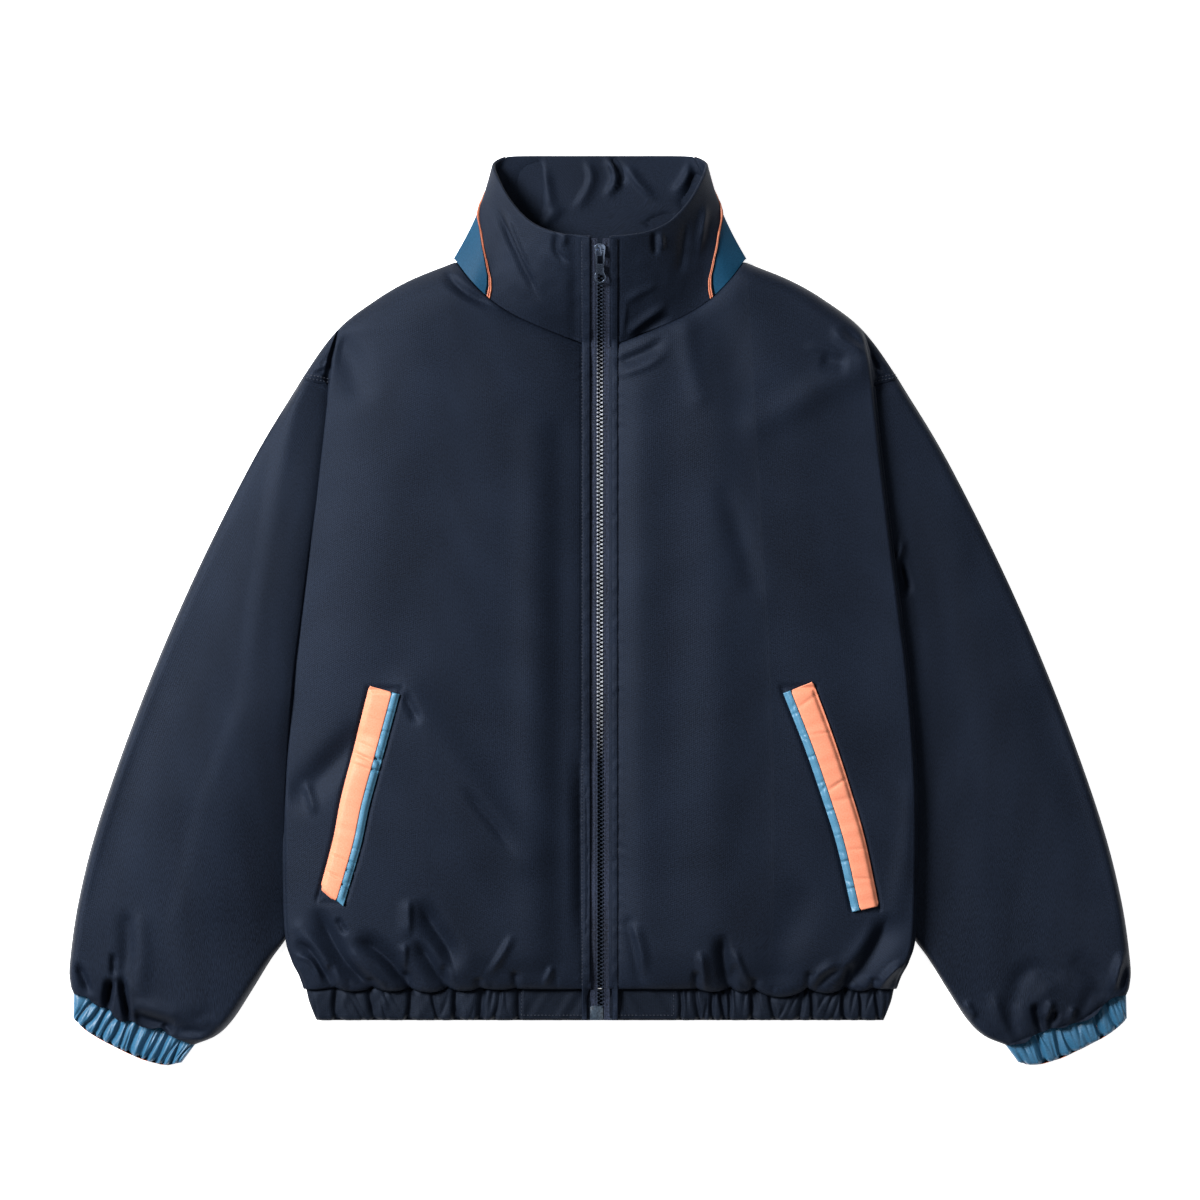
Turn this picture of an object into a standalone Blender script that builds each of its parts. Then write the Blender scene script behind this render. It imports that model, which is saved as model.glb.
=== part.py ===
"""A hip-length windbreaker with a stand collar, laid on its back with the front up.

+X is the wearer's left, +Y runs from the hem to the collar and +Z comes up off the surface
that it lies on. Tables are in millimetres and, where they hold one half of the garment, the
other half is its mirror image. Each cloth piece is a wall with an outer and an inner side.
"""

import math
from collections import namedtuple

import bmesh
import bpy
from mathutils import Matrix, Vector
from mathutils.bvhtree import BVHTree
from mathutils.geometry import interpolate_bezier

MM = 0.001

# ---- Driving dimensions, in millimetres -------------------------------------------------
SEAM_GAP = 0.4            # between two pieces that are sewn together
CURVED_SEAM_GAP = 0.7     # the same along a curved seam
EDGE_Z = 7.5              # height of the fold along shoulders and outer sleeves
BODY_LOFT = 22.0          # height of the front above the surface, mid-panel
BODY_CROWN = 3.0          # extra height in the middle of each front
BACK_LOFT = 9.5           # thickness of the padded back
PANEL_SLACK = 1.6         # air between front and back
SIDE_SLACK = 0.7          # the same beside a folded edge
ZIP_DIP = 7.5             # how far the fronts dip towards the zip
ZIP_DIP_REACH = 27.0
ZIP_EDGE = 8.0            # from the middle to the folded edge of each front
SHOULDER_ROUND = 24.0
NECK_ROUND = 16.0
NECK_DROP = 0.20
HEM_Z = 11.5              # height of the fronts where they meet the hem band
HEM_ROUND = 36.0
SIDE_DROP = 0.36          # share of the height lost where a front turns under at its side
SIDE_ROUND = 18.0
SIDE_UNDERCUT = 20.0      # how far in the turned-under side leaves the surface
SHOULDER_UNDERCUT = 12.0
TURNED_EDGE = 5.0         # width of a folded edge's seam face
HEM_SEAM_Y = -317.5
HEM_Y = -344.0
BAND_GAP = 1.0            # from the fronts to the band, which is gathered between the lines
BAND_Z = 8.4              # height of the hem band's front
PLEAT_DEPTH = 1.9
BACK_NECK_Y = 289.6
SLEEVE_LOFT = 23.0
SLEEVE_LOW = 10.5         # height of a sleeve where it slips under the body's side
SLEEVE_RISE = 62.0        # distance over which it comes up to its full height
SLEEVE_ROUND = 17.0
SLEEVE_TUCK = 6.0
ARMHOLE_DROP = 2.2        # how far a sleeve dips where it meets the body
ARMHOLE_DROP_REACH = 16.0
ARMHOLE_Y = 196.0         # below this the body's side folds under
ARMHOLE_BLEND = 12.0
CAP_STEP = 1.5
CAP_CLEAR = 60.0
CAP_RIM = 2.5             # from the fold to the first line of the cap beyond it
CAP_TURN_Y = 226.0        # below this the cap's edge is folded sideways, not down the slope
CAP_TURN = 26.0
LIP = 1.5                 # from the last line of a front to its folded side
UNDERARM_Y = -45.0
CROTCH_Y = -273.0
CUFF_MEET_Z = 12.0
CUFF_ROUND = 30.0
CUFF_Z = 8.2
CUFF_PLEAT = 1.8
FACING_WALL = 0.9
COLLAR_WALL = 3.0
COLLAR_BACK_WALL = 1.8
COLLAR_INNER_WALL = 1.2
COLLAR_BULGE = 5.0
COLLAR_ROWS = 6
COLLAR_BACK_COLUMNS = 9
PIPING_WIDTH = 2.4
WELT_WALL = 1.6
WELT_LIFT = 0.7
TAPE_WALL = 0.9
CHAIN_WALL = 2.6
CHAIN_HALF = 2.9
ZIP_SINK = 3.2            # from the top of the front's edge down to the tape

Point = namedtuple("Point", "x y")
Row = namedtuple("Row", "y half_width")
Fold = namedtuple("Fold", "tip_x tip_y root_x root_y width height ends")
Sag = namedtuple("Sag", "x depth reach")
CollarTop = namedtuple("CollarTop", "x y z")
CollarBack = namedtuple("CollarBack", "x y z")

# Shoulder and outer sleeve, from the neck point to the top of the cuff.
OUTLINE = [
    Point(121.5, 294.0),
    Point(160.0, 278.5),
    Point(190.0, 261.0),
    Point(221.0, 236.5),
    Point(250.5, 196.0),
    Point(292.0, 127.0),
    Point(342.5, 26.0),
    Point(385.0, -74.0),
    Point(421.0, -175.0),
    Point(438.5, -243.0),
    Point(446.0, -300.0),
    Point(440.0, -323.0),
]

# Collar seam on a front, from the zip to the neck point.
NECKLINE = [
    Point(8.0, 222.0),
    Point(28.0, 229.5),
    Point(49.0, 238.0),
    Point(73.0, 249.0),
    Point(94.0, 263.0),
    Point(110.0, 279.0),
    Point(121.5, 294.0),
]

# Where the body folds under at its side.
SIDE = [
    Row(236.5, 221.0),
    Row(200.0, 227.5),
    Row(119.0, 236.5),
    Row(10.0, 250.0),
    Row(-63.0, 259.0),
    Row(-150.0, 265.0),
    Row(-220.0, 265.0),
    Row(-273.0, 263.0),
    Row(-300.0, 255.5),
    Row(-330.0, 246.0),
    Row(-344.0, 240.0),
]

# The sleeve's inner edge below the body's side, down to the cuff.
SLEEVE_INNER = [
    Point(263.0, -273.0),
    Point(277.0, -293.0),
    Point(293.0, -319.0),
    Point(309.0, -343.5),
    Point(323.0, -357.0),
    Point(341.0, -364.5),
]

CUFF_SEAM = [
    Point(440.0, -323.0),
    Point(424.0, -330.0),
    Point(405.0, -343.0),
    Point(384.0, -350.0),
    Point(362.0, -357.0),
    Point(341.0, -364.5),
]

CUFF_EDGE = [
    Point(441.5, -344.5),
    Point(429.0, -355.0),
    Point(407.0, -367.0),
    Point(386.0, -376.5),
    Point(366.0, -381.4),
    Point(352.0, -379.5),
]

# Top edge of the standing collar, from the zip round to the middle of the back.
COLLAR_TOP = [
    CollarTop(8.0, 313.5, 57.0),
    CollarTop(26.0, 315.0, 58.0),
    CollarTop(43.0, 318.5, 57.5),
    CollarTop(60.0, 327.0, 55.0),
    CollarTop(75.0, 343.0, 48.5),
    CollarTop(86.0, 360.0, 38.0),
    CollarTop(92.5, 370.5, 26.0),
    CollarTop(93.0, 376.0, 14.0),
    CollarTop(86.0, 379.8, 5.0),
    CollarTop(76.0, 381.4, 1.0),
    CollarTop(62.0, 381.8, 0.0),
    CollarTop(33.0, 381.8, 0.0),
    CollarTop(0.0, 381.8, 0.0),
]

# Lower edge of the collar behind the neck point; in front of it, it follows the neckline.
COLLAR_BASE_BACK = [
    CollarBack(122.5, 296.0, 6.0),
    CollarBack(117.0, 296.0, 2.2),
    CollarBack(105.0, 294.0, 0.5),
    CollarBack(86.0, 291.5, 0.0),
    CollarBack(45.0, 290.6, 0.0),
    CollarBack(0.0, 290.6, 0.0),
]
NECKLINE_STEPS = 6        # collar sections along one neckline
PIPING_START = 4.0        # collar section at which the piping leaves the neckline
PIPING_DRIFT = 4.3        # sections that it moves round towards the back, on its way up

# Dips of the hem seam, where the fronts bulge over the band.
HEM_SAGS = [
    Sag(-222.0, 2.5, 9.0),
    Sag(-150.0, 3.0, 12.0),
    Sag(92.0, 2.5, 9.0),
    Sag(156.0, 8.0, 20.0),
    Sag(226.0, 6.0, 12.0),
]

# The largest folds: a ridge where height is positive, a trough where it is negative.
BODY_FOLDS = [
    Fold(-248.0, -250.0, -192.0, -316.0, 9.0, -4.5, "root"),
    Fold(-222.0, -252.0, -172.0, -316.0, 9.0, 4.0, "root"),
    Fold(-202.0, -276.0, -160.0, -316.0, 8.0, -4.0, "root"),
    Fold(-164.0, -205.0, -160.0, -312.0, 9.0, 3.5, "root"),
    Fold(-156.0, -240.0, -112.0, -314.0, 10.0, -5.0, "root"),
    Fold(-132.0, -236.0, -84.0, -312.0, 12.0, 3.0, "root"),
    Fold(-214.0, -100.0, -245.0, -152.0, 15.0, -4.0, "both"),
    Fold(-160.0, -74.0, -68.0, -201.0, 16.0, 2.6, "both"),
    Fold(-21.0, -85.0, -17.0, -300.0, 8.0, -2.2, "root"),
    Fold(-74.0, 190.0, -62.0, -230.0, 20.0, 1.6, "both"),
    Fold(60.0, 40.0, 62.0, -262.0, 17.0, -2.0, "both"),
    Fold(99.0, 60.0, 98.0, -250.0, 18.0, 1.8, "both"),
    Fold(84.0, -266.0, 87.0, -316.0, 8.0, 3.0, "root"),
    Fold(97.0, -250.0, 101.0, -318.0, 8.0, -4.0, "root"),
    Fold(103.0, -262.0, 138.0, -322.0, 8.0, 3.5, "root"),
    Fold(165.0, -246.0, 144.0, -312.0, 12.0, -5.0, "root"),
    Fold(201.0, -290.0, 166.0, -322.0, 8.0, 4.0, "root"),
    Fold(242.0, -254.0, 200.0, -321.0, 8.0, -5.0, "root"),
    Fold(224.0, -236.0, 188.0, -300.0, 10.0, 3.0, "root"),
    Fold(232.0, 212.0, 140.0, 164.0, 15.0, 3.2, "both"),
    Fold(196.0, 228.0, 124.0, 196.0, 16.0, -2.4, "both"),
    Fold(71.0, 236.0, 82.0, 176.0, 11.0, 2.4, "both"),
]

SLEEVE_FOLDS = [
    Fold(-396.0, -236.0, -392.0, -342.0, 9.0, -4.0, "root"),
    Fold(-412.0, -296.0, -414.0, -334.0, 6.0, -3.6, "root"),
    Fold(-376.0, -276.0, -368.0, -348.0, 10.0, 3.0, "root"),
    Fold(364.0, -290.0, 348.0, -352.0, 11.0, -4.5, "root"),
    Fold(384.0, -296.0, 374.0, -344.0, 8.0, 3.0, "root"),
    Fold(404.0, -286.0, 398.0, -336.0, 8.0, -2.6, "root"),
    Fold(-300.0, 40.0, -330.0, -130.0, 26.0, 1.4, "both"),
    Fold(300.0, 30.0, 334.0, -150.0, 26.0, 1.4, "both"),
]

# Middles of the gathers of the hem band, across the front.
HEM_PLEATS_RIGHT = [-226, -210, -193, -176, -158, -139, -121, -99, -85, -69]
HEM_PLEATS_LEFT = [75, 87, 99, 112, 124, 136, 148, 160, 172, 184, 195, 206, 218, 230]
# Middles of the gathers of a cuff, as shares of its width.
CUFF_PLEATS = [0.07, 0.14, 0.22, 0.29, 0.38, 0.47, 0.56, 0.65, 0.73, 0.82, 0.91]

SIDES = {"right": -1, "left": 1}

# ---- Small helpers ------------------------------------------------------------------------


def clamp(value, low=0.0, high=1.0):
    return max(low, min(high, value))


def mix(a, b, share):
    return a + (b - a) * share


def soft_step(share):
    share = clamp(share)
    return share * share * (3 - 2 * share)


def quarter_round(share):
    """0 at an edge, 1 inside it, with the upright start of a round edge."""
    return math.sqrt(1 - (1 - clamp(share)) ** 2)


def smooth_line(points, steps=8):
    """Points along a smooth curve that passes through the given ones."""
    points = [Vector(p) for p in points]
    ends = [points[0] * 2 - points[1], *points, points[-1] * 2 - points[-2]]
    line = [points[0]]
    for before, start, stop, after in zip(ends, ends[1:], ends[2:], ends[3:]):
        handle_out = start + (stop - before) / 6
        handle_in = stop - (after - start) / 6
        line += interpolate_bezier(start, handle_out, handle_in, stop, steps + 1)[1:]
    return line


class Line:
    """A smooth line that is read by its share of the length."""

    def __init__(self, points):
        self.points = smooth_line(points)
        self.reach = [0.0]
        for a, b in zip(self.points, self.points[1:]):
            self.reach.append(self.reach[-1] + (b - a).length)

    def at(self, share):
        target = clamp(share) * self.reach[-1]
        for i, (start, stop) in enumerate(zip(self.reach, self.reach[1:])):
            if target <= stop:
                break
        return self.points[i].lerp(self.points[i + 1], (target - start) / (stop - start))

    def distance(self, x, y):
        nearest = math.inf
        for a, b in zip(self.points, self.points[1:]):
            dx = b.x - a.x
            dy = b.y - a.y
            share = clamp(((x - a.x) * dx + (y - a.y) * dy) / (dx * dx + dy * dy))
            nearest = min(nearest, math.hypot(a.x + share * dx - x, a.y + share * dy - y))
        return nearest

    def crossing(self, axis, value):
        """The other coordinate where the line first passes the value along an axis."""
        for a, b in zip(self.points, self.points[1:]):
            if (a[axis] - value) * (b[axis] - value) <= 0 and a[axis] != b[axis]:
                share = (value - a[axis]) / (b[axis] - a[axis])
                return mix(a[1 - axis], b[1 - axis], share)
        end = self.points[-1 if abs(self.points[-1][axis] - value) <
                          abs(self.points[0][axis] - value) else 0]
        return end[1 - axis]


outline = Line(OUTLINE)
neckline = Line(NECKLINE)
side_line = Line([(row.half_width, row.y) for row in SIDE])
sleeve_inner = Line(SLEEVE_INNER)
cuff_seam = Line(CUFF_SEAM)
cuff_edge = Line(CUFF_EDGE)


def side_x(y):
    """Half the width of the body where it folds under."""
    if y >= SIDE[0].y:
        return outline.crossing(1, y)
    return side_line.crossing(1, y)


def hem_seam_y(x):
    drop = 0.0
    for sag in HEM_SAGS:
        drop += sag.depth * math.exp(-(((x - sag.x) / sag.reach) ** 2))
    return HEM_SEAM_Y - drop


def fold_height(folds, x, y):
    """Sum of the ridges and troughs at a place."""
    total = 0.0
    for fold in folds:
        along_x = fold.root_x - fold.tip_x
        along_y = fold.root_y - fold.tip_y
        length = math.hypot(along_x, along_y)
        share = ((x - fold.tip_x) * along_x + (y - fold.tip_y) * along_y) / length**2
        if share < 0 or (share > 1.25 and fold.ends == "root") or (share > 1 and fold.ends == "both"):
            continue
        across = ((x - fold.tip_x) * along_y - (y - fold.tip_y) * along_x) / length
        if fold.ends == "root":
            strength = soft_step(share / 0.6)
            width = fold.width * mix(0.7, 1.0, clamp(share))
        else:
            strength = math.sin(math.pi * share) ** 0.7
            width = fold.width
        total += fold.height * strength * math.exp(-((across / width) ** 2))
    return total


# ---- The form of the body and the sleeves --------------------------------------------------


def body_top(x, y):
    """Height of the outer side of the fronts."""
    half = abs(x)
    edge = side_x(y)
    full = BODY_LOFT + BODY_CROWN * math.sin(math.pi * clamp(half / edge))
    full -= ZIP_DIP * math.exp(-((half / ZIP_DIP_REACH) ** 2))
    full += fold_height(BODY_FOLDS, x, y)
    height = mix(EDGE_Z, full, quarter_round(outline.distance(half, y) / SHOULDER_ROUND))
    height *= 1 - NECK_DROP * (1 - quarter_round(neckline.distance(half, y) / NECK_ROUND))
    above_hem = y - hem_seam_y(x)
    height = mix(min(height, HEM_Z), height, quarter_round(above_hem / HEM_ROUND))
    return height * (1 - SIDE_DROP * (1 - quarter_round((edge - half) / SIDE_ROUND)))


def sleeve_top(x, y):
    """Height of the outer side of a sleeve, and of the body's cap above the armhole."""
    half = abs(x)
    beyond = half - side_x(max(y, HEM_Y))
    full = mix(SLEEVE_LOW, SLEEVE_LOFT, soft_step(beyond / SLEEVE_RISE))
    if y < CROTCH_Y:
        beyond_edge = sleeve_inner.distance(half, y)
        full = mix(EDGE_Z, full, quarter_round(beyond_edge / SLEEVE_ROUND))
    full += fold_height(SLEEVE_FOLDS, x, y)
    height = mix(EDGE_Z, full, quarter_round(outline.distance(half, y) / SLEEVE_ROUND))
    to_cuff = cuff_seam.distance(half, y)
    height = mix(min(height, CUFF_MEET_Z), height, quarter_round(to_cuff / CUFF_ROUND))
    if beyond < 0 and y > HEM_Y:
        height = min(height, side_underside(x, y) - 1.0)
    return height


def turned_under(y):
    """1 where the body's side folds under onto the sleeve, 0 above the armhole."""
    return soft_step((ARMHOLE_Y - y) / ARMHOLE_BLEND)


def side_seam_z(x, y):
    """Height of the seam along the body's folded side."""
    folded = body_top(math.copysign(side_x(y), x), y)
    return mix(EDGE_Z + CAP_STEP, folded, turned_under(y))


def side_underside(x, y):
    """Underside of the body near its side, where it curves up to the seam."""
    rise = 1 - quarter_round((side_x(y) - abs(x)) / SIDE_UNDERCUT)
    return (side_seam_z(x, y) - SEAM_GAP / 2) * rise * turned_under(y)


def edge_shares(x, y):
    """Distance to the nearest folded edge, and how much that edge is the side."""
    to_outline = outline.distance(abs(x), y)
    to_side = max(side_x(y) - abs(x), 0.0) + CAP_CLEAR * (1 - turned_under(y))
    return min(to_outline, to_side), to_outline / (to_outline + to_side + 0.001)


def underside(x, y):
    """Underside of the back: flat where it rests, turned up at the folded edges."""
    to_outline = outline.distance(abs(x), y)
    turned = (EDGE_Z - SEAM_GAP / 2) * (1 - quarter_round(to_outline / SHOULDER_UNDERCUT))
    if y >= SIDE[0].y or abs(x) > side_x(y):
        return turned
    return max(turned, side_underside(x, y))


def inner_face(x, y):
    """Height at which the front lies on the back."""
    to_edge, side_share = edge_shares(x, y)
    seam = mix(EDGE_Z, side_seam_z(x, y), side_share)
    resting = BACK_LOFT * mix(0.5, 1.0, quarter_round((y - hem_seam_y(x)) / HEM_ROUND))
    return mix(seam, resting, quarter_round((to_edge - TURNED_EDGE) / SIDE_ROUND))


def pulled_in(x, y):
    """A folded edge's inner line lies further in than its outer one."""
    to_edge, side_share = edge_shares(x, y)
    shift = TURNED_EDGE * (1 - soft_step(to_edge / (3 * TURNED_EDGE)))
    sideways = max(side_share, soft_step((CAP_TURN_Y - y) / CAP_TURN))
    inward = Vector((mix(-0.6, -1.0, sideways), mix(-0.8, 0.0, sideways))).normalized()
    return math.copysign(abs(x) + shift * inward.x, x), y + shift * inward.y


# ---- Building walls ------------------------------------------------------------------------


def material(name, colour, roughness, metallic=0.0):
    made = bpy.data.materials.new(name)
    made.use_nodes = True
    shader = made.node_tree.nodes["Principled BSDF"]
    shader.inputs["Base Color"].default_value = (*colour, 1.0)
    shader.inputs["Roughness"].default_value = roughness
    shader.inputs["Metallic"].default_value = metallic
    made.diffuse_color = (*colour, 1.0)
    return made


def finish(name, bm, look, smooth=True):
    bmesh.ops.recalc_face_normals(bm, faces=bm.faces)
    if bm.calc_volume(signed=True) < 0:
        bmesh.ops.reverse_faces(bm, faces=bm.faces)
    mesh = bpy.data.meshes.new(name)
    bm.to_mesh(mesh)
    bm.free()
    mesh.materials.append(look)
    if smooth:
        mesh.shade_smooth()
        mesh.set_sharp_from_angle(angle=math.radians(50))
    made = bpy.data.objects.new(name, mesh)
    bpy.context.scene.collection.objects.link(made)
    return made


def sheet_wall(name, across, along, place, look):
    """A wall from a grid: place(u, v, outer) gives a point in millimetres."""
    bm = bmesh.new()
    bmesh.ops.create_grid(bm, x_segments=len(across) - 1, y_segments=len(along) - 1, size=1)
    inner = list(bm.verts)
    made = bmesh.ops.extrude_face_region(bm, geom=list(bm.faces))
    outer = [item for item in made["geom"] if isinstance(item, bmesh.types.BMVert)]
    for verts, is_outer in ((inner, False), (outer, True)):
        for vert in verts:
            u = across[round((vert.co.x + 1) / 2 * (len(across) - 1))]
            v = along[round((vert.co.y + 1) / 2 * (len(along) - 1))]
            vert.co = Vector(place(u, v, is_outer)) * MM
    return finish(name, bm, look)


def tube_wall(name, around, along, place, look):
    """A tube with a wall: place(a, v, outer), where a runs round it as an index."""
    bm = bmesh.new()
    for radius in (1.0, 2.0):
        bmesh.ops.create_circle(bm, segments=len(around), radius=radius)
    bmesh.ops.bridge_loops(bm, edges=list(bm.edges))
    faces = list(bm.faces)
    for _ in along[1:]:
        rims = list({edge for face in faces for edge in face.edges})
        made = bmesh.ops.extrude_face_region(bm, geom=faces + rims)
        faces = [item for item in made["geom"] if isinstance(item, bmesh.types.BMFace)]
        verts = [item for item in made["geom"] if isinstance(item, bmesh.types.BMVert)]
        bmesh.ops.translate(bm, verts=verts, vec=(0, 0, 1))
    for vert in bm.verts:
        turn = math.atan2(vert.co.y, vert.co.x) / math.tau * len(around)
        a = around[round(turn) % len(around)]
        v = along[round(vert.co.z)]
        vert.co = Vector(place(a, v, vert.co.xy.length > 1.5)) * MM
    return finish(name, bm, look)


# ---- Body panels ---------------------------------------------------------------------------

# Lines across one half of the body: up to 1 they fan out over the panel, 1.5 and 2 are
# the rim, which is the shoulder cap above the armhole and the turned side below it.
BODY_ACROSS = [0.0, 0.07, 0.14, 0.22, 0.3, 0.38, 0.46, 0.53, 0.6, 0.68, 0.76, 0.83, 0.9, 0.945, 0.98,
               1.0, 1.5, 2.0]
BACK_ACROSS = [0.0, 0.22, 0.46, 0.7, 0.83, 0.9, 0.945, 0.98, 1.0, 1.5, 2.0]
# Heights on the side at which the lines along the body end.
BODY_ALONG = [236.5, 228.0, 219.0, 210.0, 203.0, 196.5, 190.0, 178.0, 160.0, 120.0, 60.0, 0.0, -60.0,
              -120.0, -170.0, -205.0, -235.0, -256.0, -274.0, -288.0, -299.0, -308.0, -314.0, HEM_SEAM_Y]
CAP_END_Y = 196.0


def back_neck_y(half):
    return mix(BACK_NECK_Y, NECKLINE[-1].y, soft_step((half - 80) / (NECKLINE[-1].x - 80)))


def front_place(u, side_y, side):
    """Plan position of a line crossing on a front."""
    if u > 1:
        return rim_place(u, side_y, side)
    start = mix(ZIP_EDGE, SIDE[0].half_width, u)
    top = neckline.crossing(0, start) if start < NECKLINE[-1].x else outline.crossing(0, start)
    share = (SIDE[0].y - side_y) / (SIDE[0].y - HEM_SEAM_Y)
    x = side * mix(ZIP_EDGE, side_x(side_y) - LIP, u)
    return x, mix(top, hem_seam_y(x), share)


def back_place(u, side_y, side):
    """Plan position of a line crossing on the back."""
    if u > 1:
        return rim_place(u, side_y, side)
    start = SIDE[0].half_width * u
    top = back_neck_y(start) if start < NECKLINE[-1].x else outline.crossing(0, start)
    share = (SIDE[0].y - side_y) / (SIDE[0].y - HEM_SEAM_Y)
    return side * u * (side_x(side_y) - LIP), mix(top, HEM_SEAM_Y, share)


def rim_place(u, side_y, side):
    """Plan position on the shoulder cap, or on the turned side below it."""
    edge = side_x(side_y)
    if side_y > CAP_END_Y:
        rim = outline.crossing(1, side_y)
        step = min(CAP_RIM, 0.4 * (rim - edge))
    else:
        rim = edge
        step = -0.4 * LIP
    return side * (rim if u == 2 else edge + step), side_y


def front(side_name):
    side = SIDES[side_name]

    def place(u, side_y, outer):
        x, y = front_place(u, side_y, side)
        if outer:
            if u == 2:
                return x, y, rim_z(x, side_y) + SEAM_GAP / 2
            if u == 1.5 and side_y > CAP_END_Y:
                return x, y, sleeve_top(x, y)
            if side_y == SIDE[0].y and abs(x) > NECKLINE[-1].x - 1:
                return x, y, EDGE_Z + SEAM_GAP / 2
            return x, y, body_top(x, y)
        z = rim_z(x, side_y) if u == 2 else inner_face(x, y)
        x, y = pulled_in(x, y)
        return x, y, z + slack(x, y) / 2

    return sheet_wall(f"front_{side_name}", BODY_ACROSS, BODY_ALONG, place, navy)


def rim_z(x, side_y):
    """Height of the seam between front and back, on the rim."""
    if side_y > CAP_END_Y:
        return EDGE_Z
    return side_seam_z(x, side_y)


def slack(x, y):
    to_edge, _ = edge_shares(x, y)
    return SIDE_SLACK + (PANEL_SLACK - SIDE_SLACK) * soft_step((to_edge - TURNED_EDGE) / SIDE_ROUND)


BACK_NECK_SHARE = 0.55    # how much of the back's thickness is left at the collar seam


def back():
    across = [-u for u in reversed(BACK_ACROSS[1:])] + BACK_ACROSS

    def place(u, side_y, outer):
        x, y = back_place(abs(u), side_y, -1 if u < 0 else 1)
        if outer:
            if abs(u) == 2:
                return x, y, rim_z(x, side_y) - SEAM_GAP / 2
            if side_y == SIDE[0].y and abs(x) > NECKLINE[-1].x - 1:
                return x, y, EDGE_Z - SEAM_GAP / 2
            return x, y, underside(x, y)
        z = rim_z(x, side_y) if abs(u) == 2 else inner_face(x, y)
        if abs(x) < NECKLINE[-1].x:
            z *= mix(BACK_NECK_SHARE, 1.0, quarter_round((back_neck_y(abs(x)) - y) / NECK_ROUND))
        x, y = pulled_in(x, y)
        return x, y, z - slack(x, y) / 2

    return sheet_wall("back", across, BODY_ALONG, place, navy)


# ---- Sleeves -------------------------------------------------------------------------------

SLEEVE_TOP_U = [0.0, 0.015, 0.04, 0.08, 0.15, 0.25, 0.36, 0.48, 0.6, 0.72, 0.82, 0.9, 0.95, 0.98]
SLEEVE_UNDER_U = [1.0, 0.95, 0.75, 0.5, 0.25, 0.06]
SLEEVE_ALONG = [0.0, 0.03, 0.08, 0.15, 0.24, 0.34, 0.45, 0.56, 0.66, 0.75, 0.82, 0.88, 0.93, 0.97, 1.0]
ARMHOLE = [Point(240.0, 190.6), Point(231.8, 188.6), Point(228.8, 186.0), Point(225.5, 180.0)]
SLEEVE_TUCKED_Y = [170.0, 120.0, 60.0, 0.0]
INSET = 9.0               # from a sleeve's folded edge to its hollow
SLEEVE_MID = 0.47         # share of a sleeve's height at which its two sides meet

armhole_start = (outline.crossing(1, ARMHOLE_Y - 2 * SEAM_GAP), ARMHOLE_Y - 2 * SEAM_GAP)
underarm = (side_x(UNDERARM_Y) - SLEEVE_TUCK, UNDERARM_Y)
tucked = [(side_x(y) - SLEEVE_TUCK, y) for y in SLEEVE_TUCKED_Y]
armhole_line = Line([armhole_start, *ARMHOLE, *tucked, underarm])
outer_line = Line([armhole_start, *[p for p in OUTLINE if p.y < ARMHOLE_Y - 10]])
inner_line = Line([underarm, *[(side_x(y) - SLEEVE_TUCK, y) for y in (-100.0, -160.0, -220.0)],
                   (side_x(-256.0) - 0.7 * SLEEVE_TUCK, -256.0), *SLEEVE_INNER])


def sleeve_plan(u, v):
    """Blends the four border lines of the flat sleeve."""
    across = outer_line.at(v).lerp(inner_line.at(v), u)
    along = armhole_line.at(u).lerp(cuff_seam.at(u), v)
    ends = outer_line.at(0).lerp(inner_line.at(0), u).lerp(outer_line.at(1).lerp(inner_line.at(1), u), v)
    return across + along - ends


def sleeve(side_name):
    side = SIDES[side_name]
    around = [(u, True) for u in SLEEVE_TOP_U] + [(u, False) for u in SLEEVE_UNDER_U]

    def place(a, v, outer):
        u, upper = a
        inset = INSET / (outer_line.at(v) - inner_line.at(v)).length
        spot = sleeve_plan(u if outer else mix(inset, 1 - inset, u), v)
        x = side * spot.x
        near_armhole = 1 - soft_step(armhole_line.distance(spot.x, spot.y) / ARMHOLE_DROP_REACH)
        top = max(sleeve_top(x, spot.y) - ARMHOLE_DROP * near_armhole, 1.0)
        if outer:
            if u == 0:
                return x, spot.y, EDGE_Z
            if u == 1:
                return x, spot.y, min(EDGE_Z, 0.5 * top)
            if upper:
                return x, spot.y, top
            to_outline = outline.distance(spot.x, spot.y)
            return x, spot.y, EDGE_Z * (1 - quarter_round(to_outline / SHOULDER_UNDERCUT))
        air = min(PANEL_SLACK, 0.2 * top) * math.sin(math.pi * u) ** 0.5
        return x, spot.y, SLEEVE_MID * top + (air if upper else -air) / 2

    return tube_wall(f"sleeve_{side_name}", around, SLEEVE_ALONG, place, navy)


# ---- Hem band and cuffs ----------------------------------------------------------------------


def pleat_lines(middles, start, stop):
    """Lines across a gathered strip: one in each pleat and one on each of its shoulders."""
    lines = [(start, 0.0)]
    for i, middle in enumerate(middles):
        gap = min(abs(middle - other) for other in middles if other != middle)
        depth = 1.0 + 0.35 * math.sin(2.3 * i + 1.0)
        lines += [(middle - 0.3 * gap, 0.0), (middle, depth), (middle + 0.3 * gap, 0.0)]
    return lines + [(stop, 0.0)]


BAND_ALONG = [0.0, 0.35, 0.85, 1.0]
BAND_MID = 4.3            # height at which the band's front lies on its back
BAND_SIDE_ROUND = 6.0
BAND_RIM_Z = 6.4


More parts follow.
